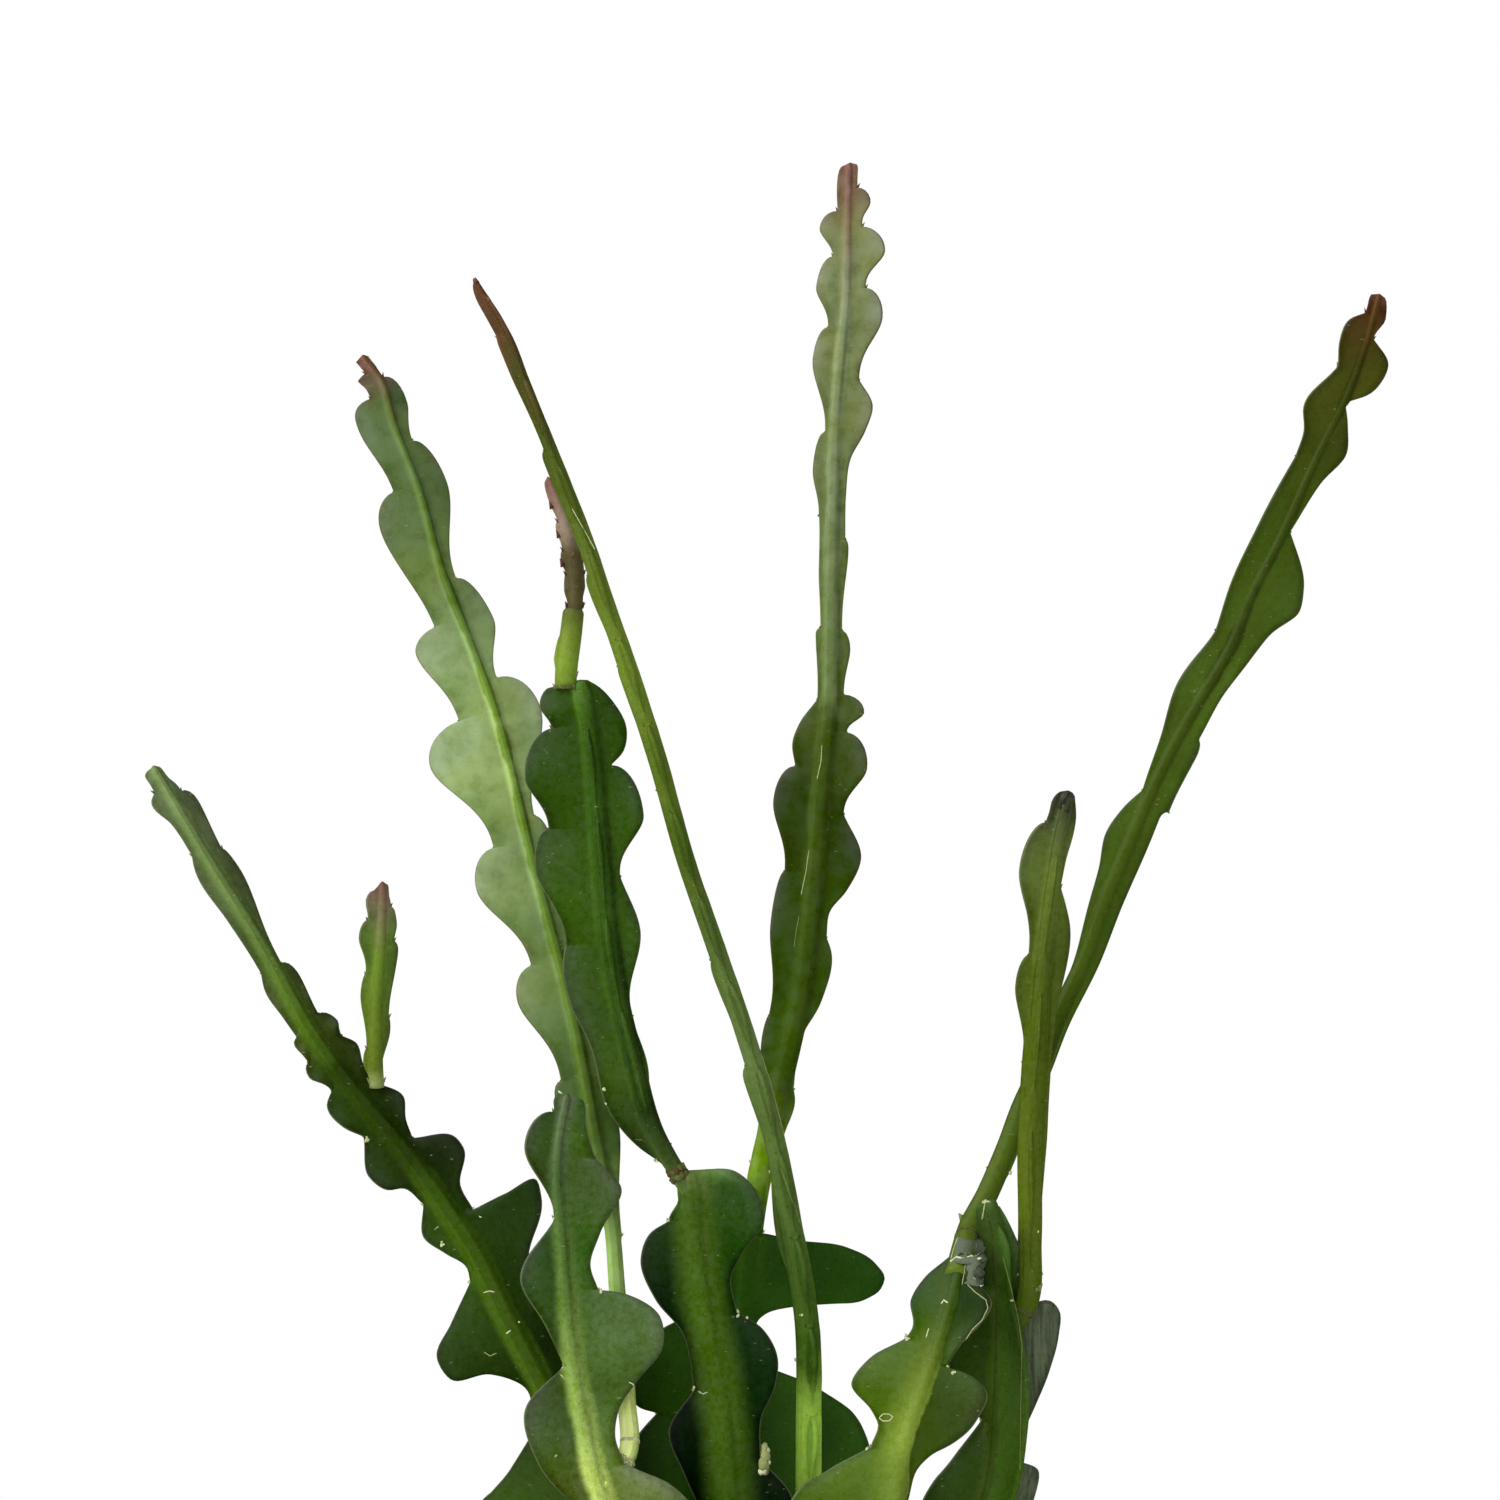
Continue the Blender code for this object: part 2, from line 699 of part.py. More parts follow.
def centre_stem():
    """The broad dark stem in the middle, with the branch and the shoots that grow from its top."""
    spine = rooted(*CENTRE_FOOT) + seen([
        (-14, -24, 136),
        (-16, -28, 160),
        (-20, -30, 195),
        (-26, -30, 227),
        (-29, -29, 256),
        (-30, -29, 265.5),
    ])
    left = Wing((170, 195), [
        [(-19, 128), (-31, 145)],
        [(-25, 155), (-31, 168), (-36, 182)],
        [(-28, 195), (-32.5, 214.5), (-40.5, 224.5), (-45, 237), (-42, 245)],
        [(-36, 249.5), (-33, 256)],
        [(-32.5, 264)],
    ])
    right = Wing((-15, 10), [
        [(-8, 128), (4, 138), (5, 150), (3, 162)],
        [(-6.5, 173), (-6, 187), (-2, 196), (-1, 205), (-6, 215)],
        [(-14, 220), (-16, 232), (-12.5, 239), (-5.5, 250), (-7.5, 258.5), (-14.5, 265)],
        [(-26, 266)],
    ])
    main = Shoot(spine, (4.5, 4.6, 4.0), [left, right])
    branch_spine = seen([
        (-29, -29, 258),
        (-34, -30, 266),
        (-40, -33, 277),
        (-47, -37, 301),
        (-53, -40, 326),
        (-57.5, -43, 365),
        (-61, -44, 403),
        (-64.5, -44, 422.5),
    ])
    branch_left = Wing((186, 174), [
        [(-40, 269), (-45, 272.5), (-55.5, 285), (-61.5, 306), (-68, 320), (-70, 331)],
        [(-69, 338.5), (-79, 362)],
        [(-74.5, 375), (-82, 391)],
        [(-73.5, 407), (-77.5, 414)],
        [(-72, 422.5)],
    ])
    branch_right = Wing((-4, 6), [
        [(-37, 273), (-42, 285), (-42.5, 298)],
        [(-48, 315), (-48.5, 321), (-45, 342)],
        [(-51.5, 359.5), (-44, 379)],
        [(-54.5, 395), (-50.5, 400), (-49.5, 407), (-53.5, 415.5), (-58, 420)],
        [(-62, 422.5)],
    ])
    ridge = HiddenWing((-88, -96), 30, 7.5, 4.5, 34)
    branch = Shoot(branch_spine, (3.0, 3.6, 3.0), [branch_left, branch_right, ridge])
    segment = Shoot(
        seen([(-65.5, -44, 417), (-68.3, -43, 424), (-68.8, -42, 429), (-67.2, -42, 436),
              (-66.3, -42, 446)]),
        (3.3, 3.3, 2.9),
        [Wing((180, 180), [[(-70, 420), (-72.8, 429)], [(-70.6, 437)]]),
         Wing((0, 0), [[(-66, 420), (-65.4, 429)], [(-64.4, 436)]])],
    )
    red_shoot = Shoot(
        seen([(-66.3, -42, 442), (-65.8, -42, 447), (-66, -41, 455), (-67.8, -40, 467),
              (-71.8, -39, 480), (-74.8, -38, 487.5)]),
        (2.4, 2.7, 1.0),
        [Wing((180, 180), [
            [(-68.5, 446), (-69.5, 451)],
            [(-69, 456), (-70.5, 460)],
            [(-70, 464), (-72, 470)],
            [(-71.5, 473), (-74, 478.5)],
            [(-75.5, 486)]]),
         Wing((0, 0), [
             [(-64.5, 446), (-62.7, 452)],
             [(-63, 457), (-64, 465)],
             [(-66, 471), (-69, 478)],
             [(-72, 485)]])],
    )
    return [main, branch, segment, red_shoot]


def edge_on_stem():
    """The long stem that leans to the left and towards the viewer, seen on its thin edge."""
    spine = rooted(*EDGE_ON_FOOT) + seen([
        (8.5, -10, 140),
        (8.8, -10, 178),
        (8.9, -12, 205),
        (8.2, -14, 218),
        (6.2, -16, 231.5),
        (3.7, -18, 245),
        (1.4, -21, 258),
        (-4.2, -29, 285),
        (-12.2, -35, 311.5),
        (-21.2, -41, 338),
        (-30.5, -47, 365),
        (-39.5, -53, 397),
        (-48, -58, 423.5),
        (-57, -63, 450),
        (-61.3, -65, 463.5),
        (-71.3, -69, 490),
        (-81.7, -72, 517),
        (-87.5, -73, 532.5),
        (-93.2, -74, 542.5),
        (-98.5, -75, 551),
    ])
    side = Wing((180, 180), [
        [(4.6, 140), (4.7, 190)],
        [(4.8, 205), (2.8, 230), (-1.4, 243), (-3, 257)],
        [(-3.3, 265), (-12, 294)],
        [(-11, 299), (-22, 328)],
        [(-22, 333), (-39, 384)],
        [(-39.5, 387), (-52, 424)],
        [(-52, 427), (-62, 452)],
        [(-62, 456), (-76, 492)],
        [(-76, 496), (-90, 528)],
        [(-91, 532), (-96, 541)],
        [(-98, 550)],
    ])
    front = HiddenWing((-76, -84), 29, 10.5, 4.5, 36)
    behind = HiddenWing((98, 90), 29, 10.5, 4.5, 50)
    core = (4.5, 4.2, 4.0, 3.2, 3.0, 3.2, 2.4, 0.9)
    return [Shoot(spine, core, [side, front, behind])]


def back_stem():
    """The very dark mature stem behind the middle, and the tall blade that stands on it."""
    spine = rooted(*BACK_FOOT) + seen([
        (-17, 12, 140),
        (-17.5, 12, 160),
        (-14.5, 13, 192),
        (-11.5, 14, 224),
        (-10.5, 14, 246),
    ])
    left = Wing((188, 195), [
        [(-21, 128), (-38, 146), (-49, 159), (-50.5, 170), (-46, 180)],
        [(-39.5, 188), (-45.5, 190), (-49, 198), (-43, 211)],
        [(-24, 222), (-26, 235)],
        [(-13, 246)],
    ])
    right = Wing((12, 22), [
        [(-11, 128), (8, 144), (22, 160), (29.5, 175), (26.5, 183), (13, 195)],
        [(-8, 204), (-8, 218.5), (-1.5, 221.5), (12, 222.2), (28, 223.7), (33, 226.5), (34.5, 230),
         (31.5, 235), (22, 240), (6, 243)],
        [(-8, 246)],
    ])
    main = Shoot(spine, (4.5, 4.8, 4.0), [left, right])
    blade_spine = seen([
        (-12.5, 14, 226),
        (-10, 14, 243),
        (-6, 14, 269),
        (-0.5, 15, 291),
        (6, 16, 320),
        (10, 18, 352),
        (12.5, 20, 384),
        (15.5, 22, 416),
        (16, 24, 448),
        (16.5, 25, 467),
        (18, 27, 512),
        (19.5, 28, 528),
        (21, 29, 544),
        (21.5, 30, 566.5),
        (22, 31, 588),
    ])
    blade_left = Wing((195, 165), [
        [(-13.5, 240), (-10.8, 264)],
        [(-9.5, 268), (-5.5, 311)],
        [(-4, 315), (-3.5, 344)],
        [(1, 361), (-2.5, 384)],
        [(4.5, 395), (3.5, 402), (6, 409)],
        [(11.5, 416), (11, 437)],
        [(12.5, 439), (12, 458)],
        [(12, 475), (10, 490)],
        [(14, 502), (10, 525.5)],
        [(15, 535.5), (11, 548.5)],
        [(16.5, 558), (12, 567)],
        [(18, 572.5), (17.8, 582)],
        [(20, 587)],
    ])
    blade_right = Wing((8, -18), [
        [(-6, 246), (-4, 258), (1, 277), (4.5, 289)],
        [(4, 291.5), (6, 307), (13, 320), (16, 336)],
        [(14.5, 340), (15.5, 348), (21, 355), (25.5, 365)],
        [(20, 379.5), (27.5, 394)],
        [(21, 405.5), (26.5, 412)],
        [(20, 418), (22, 432)],
        [(19.5, 438), (21.5, 464.5)],
        [(20.5, 467.5), (20.8, 482), (22.2, 493), (26.8, 502), (29.2, 510)],
        [(25, 518.5), (32, 538)],
        [(27, 548), (33, 559.5)],
        [(26, 567.5), (28.5, 575)],
        [(24.5, 580), (24.5, 586)],
        [(23.5, 588)],
    ])
    blade = Shoot(blade_spine, (4.2, 3.4, 1.7), [blade_left, blade_right])
    return [main, blade]


def front_right_stem():
    """The bright stem in front on the right, and the long branch that arches up from it."""
    spine = rooted(*FRONT_RIGHT_FOOT) + seen([
        (27, -37, 137),
        (36.5, -44, 160),
        (40, -45, 179),
        (44.5, -44, 192),
        (49, -41, 205),
        (55.5, -34, 227),
        (58, -29, 239),
    ])
    left = Wing((192, 170), [
        [(22, 126), (8, 136), (-1, 150), (2, 161), (15.5, 170)],
        [(28.5, 177), (31, 184), (29, 188), (22.5, 197), (28, 205.5)],
        [(40, 212), (42, 215), (41.5, 224.5), (46, 233)],
        [(53.5, 238)],
    ])
    right = Wing((15, -20), [
        [(33, 130), (44, 147)],
        [(40, 158), (43.5, 169.5), (47.5, 174), (55, 178), (62.5, 185), (66, 193), (62, 198)],
        [(53, 202), (58.5, 210), (63.5, 215.5), (66.8, 222.5), (64, 227)],
        [(60, 230), (62, 235)],
        [(61, 239)],
    ])
    main = Shoot(spine, (4.5, 4.2, 3.6), [left, right])
    branch_spine = seen([
        (56, -32, 231),
        (58.5, -22, 241),
        (60.5, -13, 247.5),
        (66, -4, 258),
        (72.3, 1, 273),
        (77, 4, 286),
        (81.5, 6, 296),
        (88, 8, 313.5),
        (97, 9, 333),
        (104, 8, 352),
        (112, 6, 371),
        (118.5, 5, 387),
        (134, 2, 416),
        (143.5, 0, 432),
        (151.5, -2, 451),
        (159.5, -3, 467),
        (172.5, -6, 496),
        (180.5, -8, 512),
        (188.5, -10, 534.5),
        (191.5, -10, 546),
    ])
    branch_left = Wing((160, 185), [
        [(67, 266), (90, 323), (97, 345.5), (101.5, 362), (104, 374), (109, 381)],
        [(115.5, 387), (121, 403), (126.5, 421)],
        [(139, 438.5), (147, 461), (154, 475)],
        [(164.5, 494), (167, 502), (167, 510)],
        [(178, 523), (178.5, 531), (182, 538)],
        [(187, 540), (188, 544)],
        [(190, 547)],
    ])
    branch_right = Wing((-25, 12), [
        [(73, 264), (121, 378)],
        [(124, 380), (132.5, 397)],
        [(133.5, 403), (144, 421), (156, 436), (166, 444), (167.5, 452)],
        [(163, 470), (172.5, 485), (181.5, 495), (181.5, 503)],
        [(180.5, 511), (190, 515.5), (194.5, 523)],
        [(189.5, 531.5), (193.5, 538)],
        [(192.5, 545)],
    ])
    branch = Shoot(branch_spine, (4.0, 3.4, 1.4), [branch_left, branch_right])
    return [main, branch]


def right_stem():
    """The three-angled stem on the right, and the short branch that stands up from it."""
    spine = rooted(*RIGHT_FOOT) + seen([
        (51, -5, 135),
        (62, -7, 149),
        (67, -8, 162),
        (70, -9, 192),
        (70.5, -10, 224),
        (69.5, -17, 242),
        (66.5, -27, 256),
    ])
    left = Wing((180, 185), [
        [(46, 132), (42, 147), (45, 160), (55.5, 174)],
        [(64, 185.5), (57, 194), (52, 205), (57, 219)],
        [(65.5, 230), (66, 240)],
        [(64.5, 254)],
    ])
    front = Wing((-62, -62), [
        [(53, 134), (74.5, 160), (77, 180), (78, 199), (76, 218)],
        [(74, 226), (73, 236)],
        [(69, 250)],
    ])
    right = Wing((35, 30), [
        [(54, 132), (74, 146), (82.5, 160), (83.3, 168)],
        [(76.4, 172), (76.6, 179), (80.7, 190), (86, 201.5), (89.7, 212), (90.3, 218), (87, 221.5)],
        [(81, 221), (79, 233), (75, 243)],
        [(70, 253)],
    ])
    main = Shoot(spine, (4.5, 4.4, 2.6), [left, front, right])
    branch_spine = seen([
        (72, -10, 213),
        (78, -11, 222),
        (79.5, -12, 243),
        (79.5, -13, 272),
        (81.5, -15, 307),
        (83.5, -16, 333),
        (86.5, -18, 358),
        (89, -20, 374),
        (92, -22, 387),
    ])
    branch_left = Wing((180, 200), [
        [(76, 232), (75.8, 270)],
        [(77.5, 300), (75, 324.5)],
        [(79, 334.5), (76.5, 362)],
        [(84.5, 377), (86, 382)],
        [(90, 387)],
    ])
    branch_ridge = HiddenWing((-88, -80), 44, 6.5, 4.4, 24)
    branch_right = Wing((15, 25), [
        [(82.5, 232), (85.5, 280)],
        [(86.5, 303), (88, 317), (93, 343.5)],
        [(89.5, 356), (91, 364), (94.5, 378)],
        [(94, 385)],
    ])
    branch = Shoot(branch_spine, (3.7, 4.0, 2.4), [branch_left, branch_ridge, branch_right])
    return [main, branch]


STEMS = (
    ("far_left_stem", far_left_stem, FAR_LEFT_FOOT, (0.06, 0.13, 0.02)),
    ("front_left_stem", front_left_stem, FRONT_LEFT_FOOT, (0.14, 0.24, 0.09)),
    ("centre_stem", centre_stem, CENTRE_FOOT, (0.04, 0.10, 0.02)),
    ("edge_on_stem", edge_on_stem, EDGE_ON_FOOT, (0.09, 0.16, 0.03)),
    ("back_stem", back_stem, BACK_FOOT, (0.05, 0.11, 0.02)),
    ("front_right_stem", front_right_stem, FRONT_RIGHT_FOOT, (0.08, 0.17, 0.03)),
    ("right_stem", right_stem, RIGHT_FOOT, (0.07, 0.15, 0.03)),
)


def main():
    for old in list(bpy.data.objects):
        bpy.data.objects.remove(old)
    make_pot()
    make_soil([foot for name, shoots, foot, colour in STEMS])
    for name, shoots, foot, colour in STEMS:
        grown_as_one(name, shoots(), material(name + "_skin", colour, 0.45))


main()
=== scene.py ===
"""The looks of the ric rac cactus: finely made stems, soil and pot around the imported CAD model.

Each stem is built from the centre lines, notches and lobes of its CAD solid, of which a few are
moved by some millimetres to follow the photo more closely. It has rounded blades and many more
points. Lengths are in millimetres, with +X to the right and +Y away from the viewer.
"""

import math
import random
from collections import namedtuple

import bmesh
import bpy
import numpy as np
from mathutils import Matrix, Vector


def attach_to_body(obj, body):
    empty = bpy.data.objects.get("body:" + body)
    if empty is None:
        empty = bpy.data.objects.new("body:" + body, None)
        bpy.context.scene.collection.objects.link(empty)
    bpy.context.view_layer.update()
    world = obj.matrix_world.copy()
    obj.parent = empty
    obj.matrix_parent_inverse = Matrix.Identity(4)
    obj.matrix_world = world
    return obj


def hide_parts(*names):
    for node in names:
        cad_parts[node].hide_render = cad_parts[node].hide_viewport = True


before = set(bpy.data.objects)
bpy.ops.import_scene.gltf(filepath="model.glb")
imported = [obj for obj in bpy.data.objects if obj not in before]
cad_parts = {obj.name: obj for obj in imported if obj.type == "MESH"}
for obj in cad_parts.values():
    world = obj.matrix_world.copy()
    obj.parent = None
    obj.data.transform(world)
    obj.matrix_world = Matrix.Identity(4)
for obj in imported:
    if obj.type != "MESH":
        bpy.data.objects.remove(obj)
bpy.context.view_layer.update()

MM = 0.001

# The photo's frame: millimetres per pixel, and where its left and top edges lie
PIXEL = 0.32
PHOTO_LEFT = -250.0
PHOTO_TOP = 640.0

# Where the front view is taken from, and the lens that frames the photo from there
VIEW_X = -10.0
VIEW_HEIGHT = 400.0
VIEW_DISTANCE = 4000.0
SENSOR = 36.0
LENS = 300.0

# The pot, and how deep its wheel marks are and how far from the axis they begin
POT_HEIGHT = 125.0
BAND_BOTTOM = 98.0
RIM_RADIUS = 70.0
BAND_FOOT_RADIUS = 68.2
BODY_TOP_RADIUS = 62.5
BASE_RADIUS = 46.0
WALL = 5.5
FLOOR = 6.0
FLOOR_RADIUS = 41.5
EDGE_ROUND = 1.4
CORNER_POINTS = 6
POT_SEGMENTS = 160
SHARP_ANGLE = 50
WHEEL_MARKS = 0.12
WHEEL_MARKS_FROM = 20
DRAIN_HOLES = 4
DRAIN_RADIUS = 5.0
DRAIN_CIRCLE = 27.0

# The soil
SOIL_EDGE_HEIGHT = 112.5
SOIL_MOUND = 3.0
SOIL_GAP = 0.35
SOIL_RINGS = 46

# The crumbs on the soil: how many, how far they stay from its edge, and above what draws from 0 to 1
# they are bark or perlite
CRUMBS = 1500
FROM_EDGE = 2.5
CRUMB_SEED = 7
BARK_ABOVE = 0.86
PERLITE_ABOVE = 0.955

# The stems where they stand in the soil
ROOT_BOTTOM = 94.0
ROOT_TOP = 119.0

# The cross-section of a stem: how thick a wing's root is beside the core, and where it is thicker,
# so that the rib is soft
ROOT_SHARE = 0.55
SOFT_RIBS = {
    "far_left_main": 0.8, "centre_main": 0.95, "back_main": 0.95, "front_right_main": 0.8, "right_main": 0.85,
}
ROOT_MOST = 4.2
THINNING = 1.8
BLADE_EDGE = 1.8
LEAST_EDGE = 0.7
VALLEY_DIP = 0.12
ROOT_ANGLE = 53.0
GAP_SHARE = 0.4
FILLET = 3.0
FACE_ROWS = (0.0, 0.05, 0.11, 0.18, 0.27, 0.38, 0.52, 0.68, 0.84, 1.0)
MARGIN_ANGLES = (60, 30, 0, -30, -60)
VALLEY_STEP = 18.0
TIP_ROUND = 2.4
TIP_STATIONS = (2.3, 1.6, 1.0, 0.55, 0.25, 0.08, 0.0)
TIP_LEAST = 0.003

# How far beyond the core a wing stands when it is fully there, and the thickness of its last rim
FULL_WING = 3.0
LAST_RIM = 0.25

# How finely a stem is divided
CURVE_STEP = 0.5
CORE_STEP = 2.0
LEAST_STATIONS = 8
BEFORE_TIP = 0.6
EDGE_STEP = 1.4
SHORTEST_EDGE = 0.5
TIP_STEP = 0.4
EASE = 5.0

# Where an edge's points join the core: by their own place along the stem, and by even steps
OWN_SHARE = 0.85
EVEN_SHARE = 0.15

# The rule for a lobe that is drawn by its notch and peak: how late its edge swells
RISE_DELAY = 1.25

# The rule for hidden lobes: where a lobe peaks, and how much smaller they are at the tip
PEAK_PLACE = 0.66
TIP_SHRINK = 0.45

# The wings' slow wave out of their own plane
WAVE_DEPTH = 1.6
WAVE_LENGTH = 62.0
WAVE_REACH = 20.0
WAVE_MOST = 1.5
WAVE_SHIFT = 2.0

# How far each lobe leans out of its wing's plane, so that its upper half faces up, over what least
# reach, and how late it begins to lean
LOBE_LEAN = 1.15
LEAN_REACH = 4.0
LEAN_DELAY = 1.5

# How far below its first lobe a wing leaves the round stalk
LEAD = 9.0

# The values of points that lie on the round stalk, far from any wing's edge
INLAND = 9.0
ON_STALK = {"out_mm": -0.5, "edge_mm": INLAND, "side": 0.0, "lobe": 0.5}

# A wing: its azimuth at the stem's foot and tip in degrees (0 points right, -90 to the viewer,
# 180 left), and its lobes. A lobe is a list of front-view points (x, z): its notch, then either
# its peak alone or several points along its edge. The last entry is where the edge ends.
Wing = namedtuple("Wing", "azimuth lobes")

# A wing that the front view doesn't show: even lobes by a rule.
HiddenWing = namedtuple("HiddenWing", "azimuth pitch reach notch start")

# One stem or branch: centre line (x, y, z), core radii at even steps along it, and its wings.
Shoot = namedtuple("Shoot", "spine core wings")

# A skin: colours of the blades and of the rib at heights in mm (8-bit sRGB), which hold painted shade and
# painted light along with the stem's own colour, how far in mm the rib's colour reaches beyond the core on
# the left and on the right, a band that is partly painted light on the rib's lit flank, how light the
# right-hand blades are beside the left-hand ones, a painted shade where below 1 and a painted light where
# above 1, how strong the large spots and the grey bloom with its painted sheen are, how much light passes
# through, and the colour of the wing that leans back to the right, or none.
Skin = namedtuple("Skin", "blade rib rib_width right spots bloom glow grey_wing")


def smooth_step(t):
    t = np.clip(t, 0.0, 1.0)
    return t * t * (3 - 2 * t)


def measured(points):
    """The lengths of the spans between points, and how far along their line each point lies."""
    spans = np.linalg.norm(np.diff(points, axis=0), axis=1)
    return spans, np.concatenate([[0.0], np.cumsum(spans)])


def curve_through(points, step):
    """A smooth curve through points: a cubic for each span, with slopes from the neighbours."""
    points = np.asarray(points, float)
    spans, at = measured(points)
    slopes = np.gradient(points, at, axis=0)
    curve = []
    for i, span in enumerate(spans):
        count = max(2, round(span / step))
        for k in range(count):
            t = k / count
            keep = (1 + 2 * t) * (1 - t) ** 2
            leave = t * (1 - t) ** 2 * span
            meet = t * t * (3 - 2 * t)
            arrive = t * t * (t - 1) * span
            curve.append(keep * points[i] + leave * slopes[i] + meet * points[i + 1] + arrive * slopes[i + 1])
    curve.append(points[-1])
    return np.array(curve)


def depth_scale(y):
    """How much larger a thing at depth y is than it looks in the front view."""
    return 1 + y / VIEW_DISTANCE


def seen(points):
    """The real places of front-view points (x, z) that lie at depth y, given as (x, y, z)."""
    placed = []
    for x, y, z in points:
        scale = depth_scale(y)
        real_x = VIEW_X + (x - VIEW_X) * scale
        placed.append((real_x, y, VIEW_HEIGHT + (z - VIEW_HEIGHT) * scale))
    return placed


class Spine:
    """A stem's centre line, measured along its length in millimetres."""

    def __init__(self, shoot):
        self.points = curve_through(shoot.spine, CURVE_STEP)
        self.along = measured(self.points)[1]
        self.length = self.along[-1]
        slopes = np.gradient(self.points, self.along, axis=0)
        self.slopes = slopes / np.linalg.norm(slopes, axis=1)[:, None]
        self.core = shoot.core

    def at(self, s, values):
        return np.stack([np.interp(s, self.along, values[:, k]) for k in range(3)], axis=-1)

    def frames(self, s):
        """Centres at distances s, and the directions along the stem, to its right and its back."""
        ahead = self.at(s, self.slopes)
        ahead /= np.linalg.norm(ahead, axis=-1, keepdims=True)
        right = np.array([1.0, 0.0, 0.0]) - ahead[..., :1] * ahead
        right /= np.linalg.norm(right, axis=-1, keepdims=True)
        return self.at(s, self.points), ahead, right, np.cross(ahead, right)

    def radius(self, s):
        """The core's radius at distances s, rounded off at the tip."""
        plain = np.interp(s / self.length, np.linspace(0, 1, len(self.core)), self.core)
        left = np.clip((self.length - s) / TIP_ROUND, 0.0, 1.0)
        return plain * np.sqrt(np.clip(1 - (1 - left) ** 2, TIP_LEAST, 1.0))

    def from_front(self, point):
        """How far along the stem a front-view point lies, and how far from the centre line."""
        scale = depth_scale(self.points[:, 1])
        seen_x = VIEW_X + (self.points[:, 0] - VIEW_X) / scale
        seen_z = VIEW_HEIGHT + (self.points[:, 2] - VIEW_HEIGHT) / scale
        away = np.hypot(seen_x - point[0], seen_z - point[1])
        nearest = int(away.argmin())
        return self.along[nearest], away[nearest] * scale[nearest]

    def part_at(self, height):
        """The share of the stem's length at which it reaches a height."""
        return float(np.interp(height, self.points[:, 2], self.along) / self.length)


def azimuth_at(wing, spine, s):
    foot, tip = wing.azimuth
    return np.radians(foot + (tip - foot) * s / spine.length)


def wings_of(shoot):
    """A shoot's wings in their order round it."""
    return sorted(shoot.wings, key=lambda wing: wing.azimuth[0] % 360)


def faces_viewer(wing):
    return abs(wing.azimuth[0] % 360 - 270) < 45


def ways(turn, right, back):
    """The directions out of a stem at an angle round it, and across that."""
    return np.cos(turn) * right + np.sin(turn) * back, np.cos(turn) * back - np.sin(turn) * right


def drawn_lobes(wing, spine):
    """The wing's lobes as (distance along, reach) points, from its front-view points."""
    lobes = []
    for lobe in wing.lobes:
        found = []
        for point in lobe:
            s, away = spine.from_front(point)
            found.append((s, away / abs(math.cos(azimuth_at(wing, spine, s)))))
        lobes.append(found)
    return lobes


def ruled_lobes(wing, spine):
    """Even lobes for a wing that the front view doesn't show, smaller towards the tip."""
    lobes = []
    s = wing.start
    while s + wing.pitch < spine.length:
        shrink = 1 - TIP_SHRINK * s / spine.length
        peak = (s + PEAK_PLACE * wing.pitch, wing.reach * shrink)
        lobes.append([(s, wing.notch * shrink), peak])
        s += wing.pitch
    lobes.append([(s, wing.notch * (1 - TIP_SHRINK))])
    return lobes


def lobes_of(wing, spine):
    return drawn_lobes(wing, spine) if isinstance(wing, Wing) else ruled_lobes(wing, spine)


def steps_for(first, second):
    return max(4, round(math.dist(first, second) / EDGE_STEP))


def edge_points(lobes, spine):
    """The wing's whole edge as (distance along, reach) points from foot to tip."""
    edge = [(0.0, 0.0)]
    if lobes[0][0][0] > LEAD + SHORTEST_EDGE:
        edge.append((lobes[0][0][0] - LEAD, 0.0))
    for lobe, following in zip(lobes, lobes[1:]):
        end = following[0]
        if len(lobe) > 2:
            edge.extend(map(tuple, curve_through([*lobe, end], EDGE_STEP)[:-1]))
            continue
        notch, peak = lobe
        rise = steps_for(notch, peak)
        for k in range(rise):
            t = k / rise
            s = notch[0] + (peak[0] - notch[0]) * t
            swell = float(smooth_step(t**RISE_DELAY))
            edge.append((s, notch[1] + (peak[1] - notch[1]) * swell))
        shoulder = steps_for(peak, end)
        for k in range(shoulder):
            turn = math.radians(90 * k / shoulder)
            s = peak[0] + (end[0] - peak[0]) * math.sin(turn)
            edge.append((s, end[1] + (peak[1] - end[1]) * math.cos(turn)))
    edge.append(lobes[-1][0])
    edge = [point for point in edge if point[0] < spine.length - SHORTEST_EDGE]
    edge.append((spine.length, 0.0))
    filled = [edge[0]]
    for (s, reach), (next_s, next_reach) in zip(edge, edge[1:]):
        step = TIP_STEP if next_s > spine.length - TIP_ROUND else CORE_STEP
        pieces = max(1, math.ceil((next_s - s) / step))
        for k in range(1, pieces + 1):
            t = k / pieces
            filled.append((s + (next_s - s) * t, reach + (next_reach - reach) * t))
    return np.array(filled)


def eased(edge, length):
    """Where each point of an edge joins the core: its own distance, smoothed along the edge."""
    arc = measured(edge)[1]
    grid = np.arange(0.0, arc[-1], CURVE_STEP)
    values = np.interp(grid, arc, edge[:, 0])
    half = min(int(3 * EASE / CURVE_STEP), len(grid) - 1)
    kernel = np.exp(-0.5 * (np.arange(-half, half + 1) * CURVE_STEP / EASE) ** 2)
    padded = np.pad(values, half, mode="reflect", reflect_type="odd")
    smooth = np.convolve(padded, kernel / kernel.sum(), mode="valid")
    core = np.interp(arc, grid, smooth)
    core = OWN_SHARE * np.maximum.accumulate(np.clip(core, 0, length)) + EVEN_SHARE * length * arc / arc[-1]
    core[0] = 0.0
    core[-1] = length
    return core


